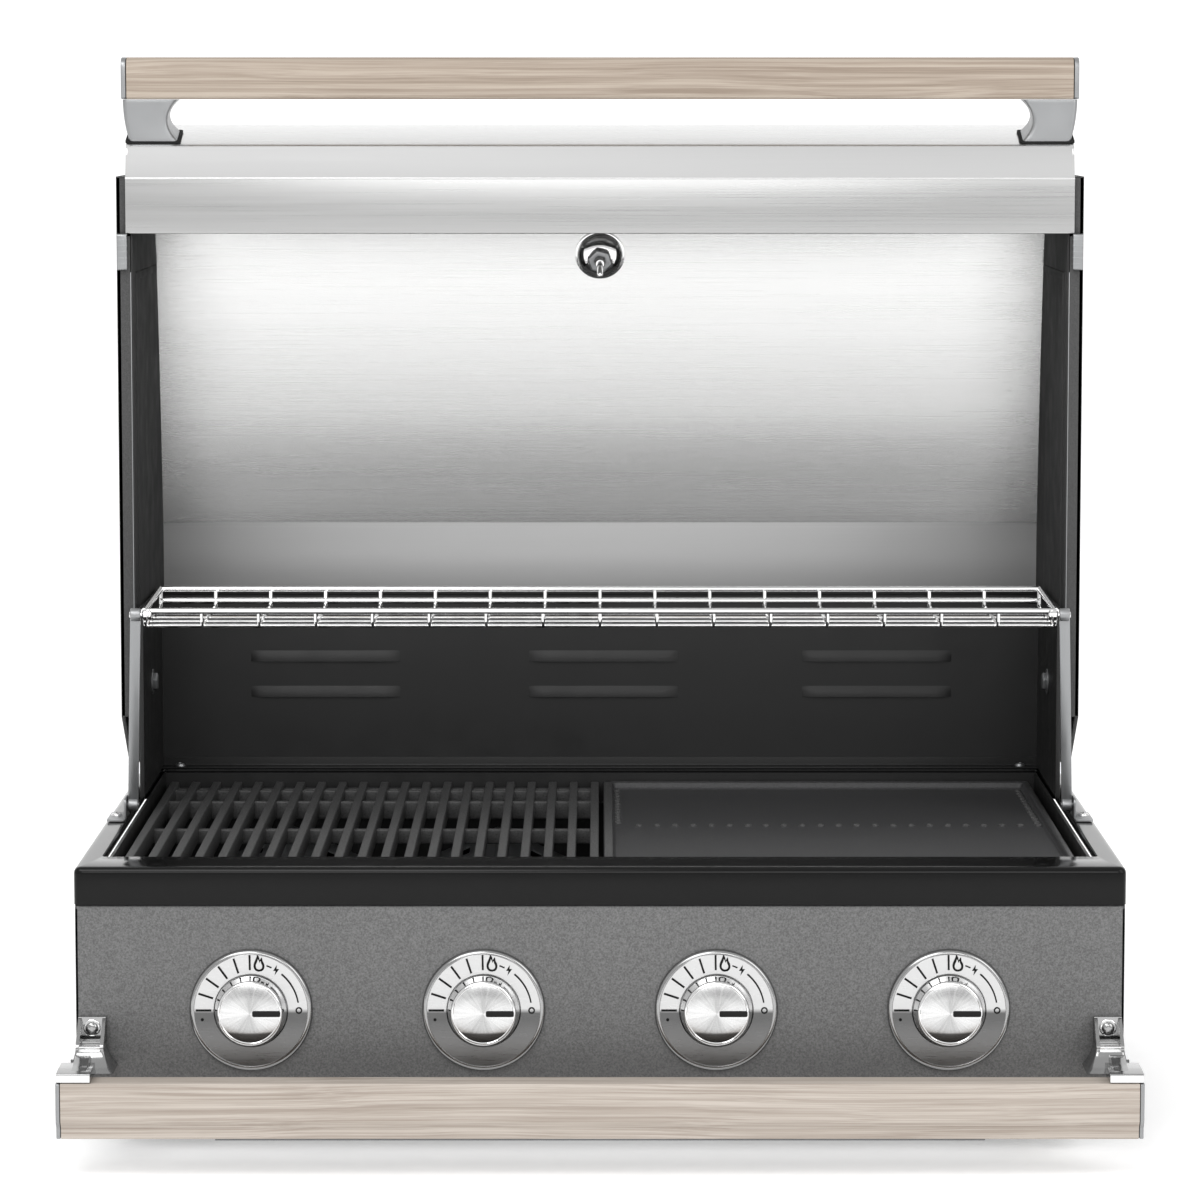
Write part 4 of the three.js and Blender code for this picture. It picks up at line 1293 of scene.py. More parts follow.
    def gauge(self) -> Gauge:
        """Returns the thermometer, square to the roof."""
        chords = self.roof(7)
        (ya, za), (yb, zb) = next(pair for pair in zip(chords, chords[1:]) if pair[1][0] > self.gauge_y)
        z = za + (zb - za) * (self.gauge_y - ya) / (yb - ya)
        tilt = math.atan2(zb - za, yb - ya)
        base = self.datum.hood(0, self.gauge_y, z)
        axis = (self.datum.hood(0, self.gauge_y - math.sin(tilt), z + math.cos(tilt)) - base).normalized()
        return Gauge(base, axis)

    def build(self) -> None:
        """Builds the whole hood."""
        self.skin()
        self.handle()
        for name, side in SIDES.items():
            self.side(name, side)
            self.rest_pad(name, side)
            self.post(name, side)
        self.gauge().build()


# ---------------------------------------------------------------- body


@dataclass
class Body:
    """The rim, fascia, rear upstand's louvres, hems and screws, gas ports and hinge bolts."""

    datum: Datum
    repeat: Repeater
    rim_half: float = 401.0
    rim_front: float = -1.5
    rim_rear: float = 548.0
    rim_height: float = 29.0
    rim_corner: float = 7.0
    opening: tuple[float, float, float] = (382.0, 52.0, 532.0)
    rim_sheet: float = 3.0
    fascia_half: float = 400.0
    fascia_span: Point = (-164.3, -29.3)
    fascia_depth: float = 40.0
    upstand_face: float = 540.0
    upstand_top: float = 156.0
    cheek: Point = (381.5, 383.5)
    louvre_columns: tuple[float, float, float] = (-239.0, 3.0, 241.0)
    louvre_heights: Point = (65.0, 96.0)
    louvre_half: float = 65.0
    louvre_lift: float = 2.4
    louvre_steps: tuple[float, ...] = (-1.0, -0.97, -0.9, -0.8, -0.4, 0.0, 0.4, 0.8, 0.9, 0.97, 1.0)
    hem_half: float = 381.4
    screw_half: float = 366.0
    burners: int = 4
    burner_pitch: float = 177.5
    ports: int = 37
    port_pitch: float = 10.2
    port_half: float = 9.6
    first_port: Point = (96.0, -102.8)
    hinge: Point = (446.0, 87.0)

    def loop(self, half: float, front: float, rear: float, corner: float, height: float) -> list[Vector]:
        """Returns a level rectangle with rounded corners."""
        corners = [(-half, front), (half, front), (half, rear), (-half, rear)]
        return [self.datum.at(x, y, height) for x, y in rounded(corners, corner, 6)]

    def rim(self) -> None:
        """Builds the enamelled rim, rolled over at its outer and inner edges."""
        thick = self.rim_sheet
        rolls = [(0, -5.4), (0.25, -3.6), (1.0, -2.0), (2.2, -0.8), (3.8, -0.2), (5.6, 0)]
        outer = []
        for i, z in [(0, -self.rim_height), *rolls]:
            corner = max(1.5, self.rim_corner - i)
            outer.append(self.loop(self.rim_half - i, self.rim_front + i, self.rim_rear - i, corner, z))
        half, front, rear = self.opening
        turned = [(-2.4, 0), (-1.2, -0.3), (-0.3, -1.1), (0, -2.4), (0, -thick), (-1.5, -thick)]
        inner = [self.loop(half - i, front + i, rear - i, 3.0, z) for i, z in turned]
        under = [
            self.loop(self.rim_half - thick, self.rim_front + thick, self.rim_rear - thick, thick, z)
            for z in (-thick, -self.rim_height)
        ]
        piece = Shape().rings([*outer, *inner, *under], closed=True).done("enamel_rim", Coatings.ENAMEL)
        fit(piece, ROOT, "black_enamel", "top_rim")

    def fascia(self) -> None:
        """Builds the fascia as a folded pan with closed ends."""
        low, high = self.fascia_span
        line = ease([(self.fascia_depth, high), (0, high), (0, low), (self.fascia_depth, low)], 3.0)
        outline = [*line, *reversed(offset_line(line, -2.0))]
        pan = Shape().prism(self.datum.at, outline, (-self.fascia_half, self.fascia_half))
        for side in SIDES.values():
            ends = sided(side, self.fascia_half - 2, self.fascia_half - 0.1)
            pan.prism(self.datum.at, line, ends)
        fit(pan.done("fascia_panel", Coatings.FASCIA, 0.5), ROOT, "fascia_paint", "control_fascia")

    def louvre(self, x: float) -> bpy.types.Object:
        """Returns a column of two pressed louvres about x.

        Args:
            x: the column's middle.

        Returns:
            The column as one object.
        """
        y, z = self.upstand_face, self.louvre_heights[0]
        rings = []
        for t in self.louvre_steps:
            lift = self.louvre_lift * min(1.0, (1 - abs(t)) / 0.16) ** 0.6 + 0.05
            curve = [(y - lift * math.sin(math.radians(a)), z + 6.5 - 9.5 * a / 90) for a in spread(7, 0, 90)]
            wall = [(py + 1.0, pz - 0.2) for py, pz in reversed(curve)]
            rings.append([self.datum.at(x + t * self.louvre_half, py, pz) for py, pz in [*curve, *wall]])
        shape = Shape().rings(rings)
        bmesh.ops.recalc_face_normals(shape.mesh, faces=shape.mesh.faces)
        step = Vector((0, 0, (self.louvre_heights[1] - z) * MM))
        return self.repeat.rows("louvre_column", shape, Coatings.DULL_ENAMEL, Count=2, Step=step)

    def upstand(self) -> None:
        """Dresses the rear upstand with louvres, hems, a folded foot and its screws."""
        columns = [self.louvre(x) for x in self.louvre_columns]
        fit(join("upstand_louvres", columns), ROOT, "black_enamel")
        trims = Shape()
        y, top = self.upstand_face, self.upstand_top
        across = (-self.hem_half, self.hem_half)
        trims.box(self.datum.at, across, (y - 3.2, y + 1.5), (top - 4.5, top - 0.2), 1.6)
        foot = ease([(y - 13, 1.8), (y - 1.2, 1.8), (y - 1.2, 9)], 1.2)
        trims.prism(self.datum.at, [*foot, *reversed(offset_line(foot, 1.4))], across)
        for side in SIDES.values():
            span = sided(side, self.cheek[0] - 1.6, self.cheek[1] + 0.2)
            trims.box(self.datum.at, span, (351.8, 355.4), (0.4, 155.6), 1.6)
            trims.box(self.datum.at, span, (358.5, y), (155.2, 158.6), 1.4)
        fit(trims.done("upstand_hems", Coatings.DULL_ENAMEL, 0.2), ROOT, "black_enamel")
        screws = Shape()
        head = [(0, 0), (4.4, 0), (4.4, 0.7), (3.6, 2.1), (1.6, 2.7), (1.2, 1.6), (0, 1.6)]
        for x in (-self.screw_half, self.screw_half):
            screws.lathe(self.datum.at(x, y - 7.4, 1.9), Vector((0, 0, 1)), head, 24)
        fit(screws.done("upstand_screws", Coatings.SILVER), ROOT, "silver_metal")

    def hinge_bolt(self, name: str, side: int) -> None:
        """Builds the bolt that the hood turns on, with its washer.

        Args:
            name: the piece's side, left or right.
            side: -1 on the left and 1 on the right.
        """
        head = self.datum.at(side * 380.9, *self.hinge)
        axis = Vector((-side, 0, 0))
        bolt = Shape().lathe(head, axis, [(0, 0), (7.2, 0), (8, 0.6), (8, 3.4), (7, 4.4), (0, 4.4)], 6)
        bolt.lathe(head, axis, [(0, -0.6), (10.6, -0.6), (11, -0.2), (11, 0.3), (10.4, 0.6), (0, 0.6)], 40)
        bolt.bar(head, self.datum.at(side * 396.6, *self.hinge), 5, 32)
        fit(bolt.done(f"hinge_bolt_{name}", Coatings.SILVER, 0.3), ROOT, "silver_metal", f"hinge_pin_{name}")

    def gas_ports(self) -> None:
        """Adds the two rows of gas ports along each burner, each a small black stud painted for the shade
        inside the hole.
        """
        port = [(0, -0.6), (1.7, -0.6), (1.7, 0.35), (0, 0.2)]
        for i in range(self.burners):
            x = (i - (self.burners - 1) / 2) * self.burner_pitch
            seed = Shape()
            for side in SIDES.values():
                centre = self.datum.at(x + side * self.port_half, *self.first_port)
                seed.lathe(centre, Vector((side * 0.8, 0, 0.6)), port, 8)
            bmesh.ops.recalc_face_normals(seed.mesh, faces=seed.mesh.faces)
            step = Vector((0, self.port_pitch * MM, 0))
            # painted shade: black studs stand in for the dark inside each port
            ports = self.repeat.rows(f"burner_ports_{i + 1}", seed, Coatings.INK, Count=self.ports, Step=step)
            fit(ports, ROOT, "black_plastic")

    def build(self) -> None:
        """Builds the body's own pieces."""
        self.rim()
        self.fascia()
        self.upstand()
        self.gas_ports()
        for name, side in SIDES.items():
            self.hinge_bolt(name, side)


@dataclass(frozen=True)
class Wardrobe:
    """Finishes for the nodes that keep their own shape, by the start of their names."""

    nodes: dict[str, bpy.types.Object]
    coats: tuple[tuple[str, Coatings], ...] = (
        ("firebox", Coatings.DULL_ENAMEL),
        ("rear_upstand", Coatings.DULL_ENAMEL),
        ("burner_", Coatings.GALVANISED),
        ("flame_tamer_", Coatings.GALVANISED),
        ("gas_valve_", Coatings.BRASS),
        ("gas_manifold", Coatings.SILVER),
        ("gas_inlet", Coatings.BRASS),
        ("ignition_module", Coatings.PLASTIC),
        ("knob_stem_", Coatings.SILVER),
        ("tray_housing", Coatings.GALVANISED),
        ("drip_tray", Coatings.GALVANISED),
    )

    def dress(self) -> None:
        """Puts each finish on its nodes."""
        for start, coat in self.coats:
            for name, node in self.nodes.items():
                if name.startswith(start):
                    node.data.materials.clear()
                    node.data.materials.append(material_of(coat))
                    LOG.info("%s wears %s", name, coat.value.name)


# ---------------------------------------------------------------- controls


@dataclass
class Controls:
    """Four dial rings with their marks, and the turning knobs in front of them."""

    datum: Datum
    count: int = 4
    pitch: float = 177.5
    height: float = -110.0
    ring: Point = (28.4, 47.0)
    knob_radius: float = 27.2
    face_radius: float = 24.0
    ink: Point = (3.2, 4.12)
    mark_radius: float = 36.6

    def flat(self, shape: Shape, x: float, outline: Outline, span: Point) -> None:
        """Adds an outline, drawn about a control's middle, as a thin plate that stands off the fascia."""
        moved = [(x + px, self.height + pz) for px, pz in outline]
        shape.face_plate(self.datum.at, moved, -span[0], -span[1])

    def polar(self, radius: float, angle: float) -> Point:
        """Returns a point about the middle."""
        return (radius * math.cos(math.radians(angle)), radius * math.sin(math.radians(angle)))

    def stroke(self, angle: float, inner: float, outer: float, width: float) -> list[Point]:
        """Returns a radial stroke.

        Args:
            angle: its direction in degrees.
            inner: where it starts.
            outer: where it ends.
            width: its width.

        Returns:
            Its outline.
        """
        across = Vector(self.polar(1, angle + 90)) * width / 2
        ends = [Vector(self.polar(r, angle)) for r in (inner, outer)]
        return [tuple(p) for p in (ends[0] - across, ends[1] - across, ends[1] + across, ends[0] + across)]

    def band(self, start: float, end: float, radius: float, width: Point, steps: int = 18) -> list[Point]:
        """Returns an arc stroke whose width changes from one end to the other.

        Args:
            start: the first angle in degrees.
            end: the last angle in degrees.
            radius: its middle line.
            width: its widths at the two ends.
            steps: the number of chords.

        Returns:
            Its outline.
        """
        outer, inner = [], []
        for angle, w in zip(spread(steps, start, end), spread(steps, *width)):
            outer.append(self.polar(radius + w / 2, angle))
            inner.append(self.polar(radius - w / 2, angle))
        return [*outer, *reversed(inner)]

    def hoop(self, x: float, z: float, outer: float, inner: float, steps: int = 24) -> list[list[Point]]:
        """Returns a printed circle line as small tiles."""
        big, small = (arc((x, z), r, 0, 360, steps) for r in (outer, inner))
        return [[big[k], big[k + 1], small[k + 1], small[k]] for k in range(steps)]

    def flame(self, x: float, z: float) -> list[list[Point]]:
        """Returns an outlined flame as small tiles.

        Args:
            x: its middle across.
            z: its middle in height.

        Returns:
            The tiles' outlines.
        """
        tongues = (
            ((0.0, -6.6), (4.8, -6.6), (5.0, -1.6), (3.0, 1.0)),
            ((3.0, 1.0), (2.4, 2.0), (2.6, 3.2), (2.2, 4.4)),
            ((2.2, 4.4), (1.2, 3.6), (0.8, 2.6), (0.5, 1.8)),
            ((0.5, 1.8), (0.4, 4.4), (-0.4, 5.8), (-1.6, 7.0)),
            ((-1.6, 7.0), (-1.2, 3.6), (-4.4, 1.2), (-4.2, -2.4)),
            ((-4.2, -2.4), (-4.0, -5.2), (-2.2, -6.6), (0.0, -6.6)),
        )
        line = [(0.0, -6.6)]
        for tongue in tongues:
            line += bezier(*tongue, 6)[1:]
        inner = [(px * 0.6, pz * 0.6 - 1.1) for px, pz in line]
        tiles = []
        for k in range(len(line) - 1):
            tiles.append([line[k], line[k + 1], inner[k + 1], inner[k]])
        return [[(x + px, z + pz) for px, pz in tile] for tile in tiles]

    def dial(self, index: int, x: float, satin_finish: Finish) -> None:
        """Builds the chrome edge and the satin ring of a dial.

        Args:
            index: the control's number, from 1.
            x: the control's middle.
            satin_finish: the ring's finish.
        """
        centre = self.datum.at(x, 0, self.height)
        forward = Vector((0, -1, 0))
        outer = self.ring[1]
        edge = [(outer - 3.9, 0.3), (outer, 0.3), (outer, 1.4), (outer - 0.5, 2.8), (outer - 1.4, 3.9)]
        edge += [(outer - 2.5, 4.5), (outer - 3.4, 4.55), (outer - 3.9, 4.2)]
        rim = Shape().lathe(centre, forward, edge, 128)
        inner = [(28.6, 3.6), (28.2, 4.0), (27.8, 3.8), (27.6, 1.8), (12, 1.8), (12, 0.4)]
        plate = Shape().lathe(centre, forward, [(outer - 3.8, 0.4), (outer - 3.8, 3.6), *inner], 128)
        # the dial's chrome edge wears the darker chrome copy as painted shade
        chrome = rim.done(f"dial_edge_{index}", Coatings.SHADED_CHROME)
        satin = plate.done(f"dial_ring_{index}", satin_finish)
        fit(join(f"dial_plate_{index}", [satin, chrome]), ROOT, "chrome", f"bezel_{index}")

    def marks(self, index: int, x: float) -> None:
        """Prints the setting marks: strokes, a flame, a dash, a spark, a tapering arc and two circles.

        Args:
            index: the control's number, from 1.
            x: the control's middle.
        """
        shape = Shape()
        r = self.mark_radius
        outlines = [self.stroke(a, r - 6.4, r + 5.4, 1.5) for a in (180, 162, 144, 126, 108)]
        outlines.append(self.stroke(91, r - 5.4, r + 6.2, 1.5))
        outlines += self.flame(*self.polar(r + 0.6, 80))
        outlines.append(self.stroke(67.4, r - 0.5, r + 0.5, 4.2))
        sx, sz = self.polar(r, 58)
        spark = [(0.6, 4.0), (-2.2, -0.4), (-0.3, -0.4), (-1.2, -4.0), (2.3, 0.9), (0.4, 0.9)]
        outlines.append([(sx + px, sz + pz) for px, pz in spark])
        outlines.append(self.band(50, 9.5, r, (1.3, 1.1)))
        outlines += self.hoop(*self.polar(r, 0), 2.6, 1.5)
        outlines.append(arc(self.polar(r + 1.2, 191), 1.2, 0, 360, 12)[:-1])
        for outline in outlines:
            self.flat(shape, x, outline, self.ink)
        fit(shape.done(f"dial_marks_{index}", Coatings.INK), ROOT, "black_plastic")

    def knob(self, index: int, x: float, spun: Finish) -> None:
        """Builds a knob: its polished body, spun face and black pointer.

        Args:
            index: the control's number, from 1.
            x: the control's middle.
            spun: the face's finish.
        """
        centre = self.datum.at(x, 0, self.height)
        forward = Vector((0, -1, 0))
        face = self.face_radius
        wall = [(0, 5.4), (26.6, 5.4), (self.knob_radius, 6.0), (self.knob_radius, 8.0), (26.6, 9.2)]
        crown = [(face + 1.2, 15.6), (face + 0.7, 16.9), (face - 0.2, 17.8), (face - 1.0, 18.0)]
        body = Shape().lathe(centre, forward, [*wall, *crown, (face - 1.5, 17.6), (0, 17.6)], 112)
        shell = body.done(f"knob_shell_{index}", Coatings.CHROME)
        disc = [(0, 17.0), (face - 1.6, 17.0), (face - 1.6, 17.5), (face - 2.3, 17.9), (10, 18.0), (0, 18.05)]
        plate = Shape().lathe(centre, forward, disc, 112).done(f"knob_plate_{index}", spun)
        fit(join(f"knob_cap_{index}", [shell, plate]), f"dial_{index}", "stainless", f"knob_{index}")
        bar = Shape()
        outline = rounded([(2, -2.3), (face - 0.6, -2.3), (face - 0.6, 2.3), (2, 2.3)], 1.4, 5)
        self.flat(bar, x, outline, (17.2, 18.8))
        fit(bar.done(f"knob_pointer_{index}", Coatings.PLASTIC, 0.35), f"dial_{index}", "black_plastic")

    def build(self) -> None:
        """Builds every control."""
        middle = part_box("knob_1")
        height = (middle[0].z + middle[1].z) / 2
        spun = Spun("spun_steel", (0.66, 0.66, 0.66), 0.26, 1.0, pitch=self.pitch * MM, height=height)
        satin = PaintedReflectionRing("dished_satin_chrome", (0.6, 0.6, 0.6), 0.3, 1.0, height=height)
        for i in range(self.count):
            x = (i - (self.count - 1) / 2) * self.pitch
            self.dial(i + 1, x, satin)
            self.marks(i + 1, x)
            self.knob(i + 1, x, spun)


# ---------------------------------------------------------------- cooking surfaces


@dataclass
class Grates:
    """The cast-iron grill on the left and the hotplate on the right."""

    datum: Datum
    repeat: Repeater
    half: float = 373.0
    front: float = 58.0
    rear: float = 525.0
    top: float = -10.0
    low: float = -28.0
    bars: int = 21
    bar_half: float = 3.5
    plate_left: float = 3.0
    ties: tuple[tuple[float, float, float], ...] = (
        (58.6, 66, -15),
        (286, 292, -15.5),
        (420, 425, -12.4),
        (484, 489, -12.4),
        (511, 519, -15),
    )

    def grill(self) -> None:
        """Builds the row of bars and the ties below them."""
        first = -self.half + self.bar_half
        bar = Shape()
        corners = [(self.front, -26), (self.rear, -26), (self.rear, self.top), (self.front, self.top)]
        bar.prism(self.datum.at, rounded(corners, 6.5, 5), (first - self.bar_half, first + self.bar_half))
        bar.break_edges(1.3, 3)
        step = Vector(((-4.5 - first) / (self.bars - 1) * MM, 0, 0))
        rows = self.repeat.rows("grill_bars", bar, Coatings.IRON, Count=self.bars, Step=step)
        ties = Shape()
        for y0, y1, top in self.ties:
            ties.box(self.datum.at, (-self.half, -1), (y0, y1), (-27.8, top), 1.8)
        beams = ties.done("grill_ties", Coatings.IRON, 0.4)
        fit(join("grill_casting", [rows, beams]), "grill", "cast_iron", "cast_iron_grill")

    def tray_loop(self, inset: Sequence[float], corner: float, height: float) -> list[Vector]:
        """Returns a rounded rectangle, inset from the hotplate's left, right, front and rear.

        Args:
            inset: the distances from those four edges.
            corner: the corners' radius.
            height: its height.

        Returns:
            The places along it.
        """
        left, right, front, rear = inset
        x0, x1 = self.plate_left + left, self.half - right
        y0, y1 = self.front + front, self.rear - rear
        corners = [(x0, y0), (x1, y0), (x1, y1), (x0, y1)]
        return [self.datum.at(x, y, height) for x, y in rounded(corners, corner, 6)]

    def hotplate(self) -> None:
        """Builds the hotplate with its raised rim, grease slot and rows of pips."""
        outer = [(0.5, self.low), (0, self.low + 0.6), (0, -11.8), (0.3, -10.9), (1.2, -10.2)]
        loops = [self.tray_loop((i, i, i, i), 5, z) for i, z in [*outer, (2.2, self.top)]]
        wells = ((6.4, 4.4, 6.4, 7.4, self.top), (7.4, 5.4, 7.4, 8.4, -10.8), (8.2, 6.2, 8.2, 9.2, -14.6))
        loops += [self.tray_loop(row[:4], 5, row[4]) for row in (*wells, (9.6, 7.6, 9.6, 10.6, -16))]
        plate = Shape().rings(loops).done("plate_casting", Coatings.GRIDDLE)
        rim = Shape()
        for x0, x1, y0, y1 in (
            (self.plate_left + 0.6, self.plate_left + 7.2, self.front + 1, self.rear - 1),
            (self.plate_left + 1, self.half - 1, self.rear - 8.0, self.rear - 0.7),
        ):
            rim.box(self.datum.at, (x0, x1), (y0, y1), (-14, self.top + 0.02), 2.2)
        edge = rim.done("plate_ground_rim", Coatings.IRON, 0.6)
        fit(join("plate_with_rim", [plate, edge]), "griddle", "cast_iron", "hotplate")
        slot = Shape()
        outline = rounded([(23, 70), (83, 70), (83, 84), (23, 84)], 6.8, 6)
        steps = ((2.6, -16.2), (1.6, -15.3), (0, -15.4), (0, -17))
        rings = [[self.datum.at(x, y, z) for x, y in grown(outline, g)] for g, z in steps]
        collar = slot.rings(rings, capped=False).done("slot_collar", Coatings.GRIDDLE)
        # painted shade: a black disc set in the slot stands in for the dark of the opening
        well = Shape().plate(self.datum.at, outline, -16.6, -15.9).done("slot_well", Coatings.INK)
        fit(join("grease_slot", [collar, well]), "griddle", "cast_iron")
        self.pips()

    def pips(self) -> None:
        """Casts rows of pips round the rear field of the hotplate."""
        parts = []
        dome = [(0, -0.4), (3.2, -0.4), (2.9, 0.9), (1.7, 1.8), (0, 2.1)]
        rows = (
            ((32.0, 307.0), (15.0, 0.0), 23),
            ((362.0, 322.0), (0.0, 15.0), 13),
            ((14.6, 322.0), (0.0, 15.0), 13),
        )
        for number, ((x, y), (dx, dy), count) in enumerate(rows):
            pip = Shape().lathe(self.datum.at(x, y, -16), Vector((0, 0, 1)), dome, 10)
            bmesh.ops.recalc_face_normals(pip.mesh, faces=pip.mesh.faces)
            step = Vector((dx * MM, dy * MM, 0))
            parts.append(self.repeat.rows(f"pips_{number}", pip, Coatings.IRON, Count=count, Step=step))
        fit(join("plate_pips", parts), "griddle", "cast_iron")

    def build(self) -> None:
        """Builds both castings."""
        self.grill()
        self.hotplate()


# ---------------------------------------------------------------- warming rack


@dataclass
class Rack:
    """The wire warming rack, its strap legs and its brackets."""

    datum: Datum
    repeat: Repeater
    half: float = 366.0
    front: float = 220.0
    rear: float = 360.0
    top: float = 172.0
    floor: float = 159.0
    cross_wires: int = 17
    floor_wires: int = 5
    pin_z: float = 169.0
    leg_top: tuple[float, float, float] = (373.0, 220.0, 169.0)
    leg_foot: tuple[float, float, float] = (379.0, 246.0, 11.0)
    strap: float = 4.2
    screw: Point = (392.5, 246.0)

    def wires(self) -> None:
        """Bends and repeats the wires and rails."""
        at, run = self.datum.at, self.repeat.wire
        rear_top = self.top + 3
        parts = []
        for y, z in ((self.front, self.top), (self.rear, rear_top), (self.rear - 2, self.floor + 6.5)):
            path = [at(-self.half, y, z), at(self.half, y, z)]
            parts.append(run("rack_rail", path, Coatings.CHROME, 2.5, Sides=14))
        first = -self.half + 0.6
        points = ((self.front, self.top), (self.front + 1.5, self.floor + 1.8))
        points += ((self.rear - 2.5, self.floor + 1.8), (self.rear, rear_top))
        path = [at(first, y, z) for y, z in points]
        step = Vector((-2 * first / (self.cross_wires - 1) * MM, 0, 0))
        options = {"Bend": 3.4 * MM, "Sides": 10, "Count": self.cross_wires, "Step": step}
        parts.append(run("rack_cross_wires", path, Coatings.CHROME, 1.6, **options))
        y0 = self.front + 10
        path = [at(-self.half + 1, y0, self.floor), at(self.half - 1, y0, self.floor)]
        step = Vector((0, (self.rear - 16 - y0) / (self.floor_wires - 1) * MM, 0))
        options = {"Sides": 10, "Count": self.floor_wires, "Step": step}
        parts.append(run("rack_floor_wires", path, Coatings.CHROME, 1.6, **options))
        for side in SIDES.values():
            x = side * self.half
            path = [at(x, self.front - 1, self.top), at(x, self.rear + 1, rear_top)]
            parts.append(run("rack_side_rail", path, Coatings.CHROME, 2.5, Sides=14))
            start = at(side * (self.half - 6), self.front, self.pin_z)
            axis = Vector((side, 0, 0))
            boss = [(0, 0), (3.9, 0), (4.8, 0.8), (4.8, 1.9), (4.0, 2.4), (4.0, 3.2), (4.8, 3.7)]
            pin = [(4.8, 6.4), (3.6, 7.5), (2.6, 7.5), (2.6, 17.2), (2.0, 18), (0, 18)]
            parts.append(Shape().lathe(start, axis, [*boss, *pin], 32).done("rack_boss", Coatings.CHROME))
        fit(join("rack_wirework", parts), ROOT, "chrome", "warming_rack")

    def leg(self, name: str, side: int) -> None:
        """Builds a strap leg with a rolled eye at each end.

        Args:
            name: the piece's side, left or right.
            side: -1 on the left and 1 on the right.
        """
        (x0, y0, z0), (x1, y1, z1) = self.leg_top, self.leg_foot
        lean = math.degrees(math.atan2(z1 - z0, x1 - x0))
        outline = arc((x1, z1), self.strap, lean - 90, lean + 90, 12)
        outline += arc((x0, z0), self.strap, lean + 90, lean + 270, 12)
        rings = []
        for thick in (-1.5, 1.5):
            ring = []
            for x, z in outline:
                y = y0 + (y1 - y0) * (z0 - z) / (z0 - z1) + thick
                ring.append(self.datum.at(side * x, y, z))
            rings.append(ring)
        leg = Shape().rings(rings)
        eye = [(3, 0.1), (4.7, 0.1), (5.2, 0.6), (5.2, 7.8), (4.7, 8.3), (3, 8.3)]
        for x, y, z in (self.leg_top, self.leg_foot):
            leg.lathe(self.datum.at(side * (x - self.strap), y, z), Vector((side, 0, 0)), eye, 28)
        fit(leg.done(f"rack_strap_{name}", Coatings.SILVER, 0.5), ROOT, "silver_metal", f"rack_leg_{name}")

    def bracket(self, name: str, side: int) -> None:
        """Builds a small angle bracket with its stud and crosshead screw.

        Args:
            name: the piece's side, left or right.
            side: -1 on the left and 1 on the right.
        """
        part = Shape()
        foot = rounded([(383.8, 222), (398.5, 222), (398.5, 266), (383.8, 266)], 3.5, 5)
        part.plate(self.datum.at, [(side * x, y) for x, y in foot], 0.3, 2.3)
        tab = rounded([(234, 0.4), (258, 0.4), (258, 17.5), (234, 17.5)], 4, 5)
        part.prism(self.datum.at, tab, sided(side, 383.8, 385.6))
        start = self.datum.at(side * 384.5, self.leg_foot[1], self.leg_foot[2])
        part.lathe(start, Vector((-side, 0, 0)), [(0, 0), (2.6, 0), (2.6, 9.6), (2.0, 10.3), (0, 10.3)], 24)
        plate = part.done("angle", Coatings.SILVER, 0.4)
        screw = Shape()
        head = [(0, 0), (4.6, 0), (4.6, 0.9), (4.2, 1.8), (3.2, 2.5), (1.8, 2.8), (0, 2.8)]
        x, y = self.screw
        centre = self.datum.at(side * x, y, 1.8)
        screw.lathe(centre, Vector((0, 0, 1)), head, 32)
        top = screw.done("screw", Coatings.CHROME)
        # painted shade: a black cross laid on the screw head stands in for the shaded crosshead recess
        cross = Shape()
        for dx, dy in ((2.4, 0.5), (0.5, 2.4)):
            cross.box(self.datum.at, sided(side, x - dx, x + dx), (y - dy, y + dy), (3.4, 4.64))
        slot = cross.done("cross", Coatings.INK)
        fit(join(f"rack_foot_{name}", [plate, top, slot]), ROOT, "silver_metal", f"rack_bracket_{name}")

    def build(self) -> None:
        """Builds the rack and what carries it."""
        self.wires()
        for name, side in SIDES.items():
            self.leg(name, side)
            self.bracket(name, side)


# ---------------------------------------------------------------- front rail


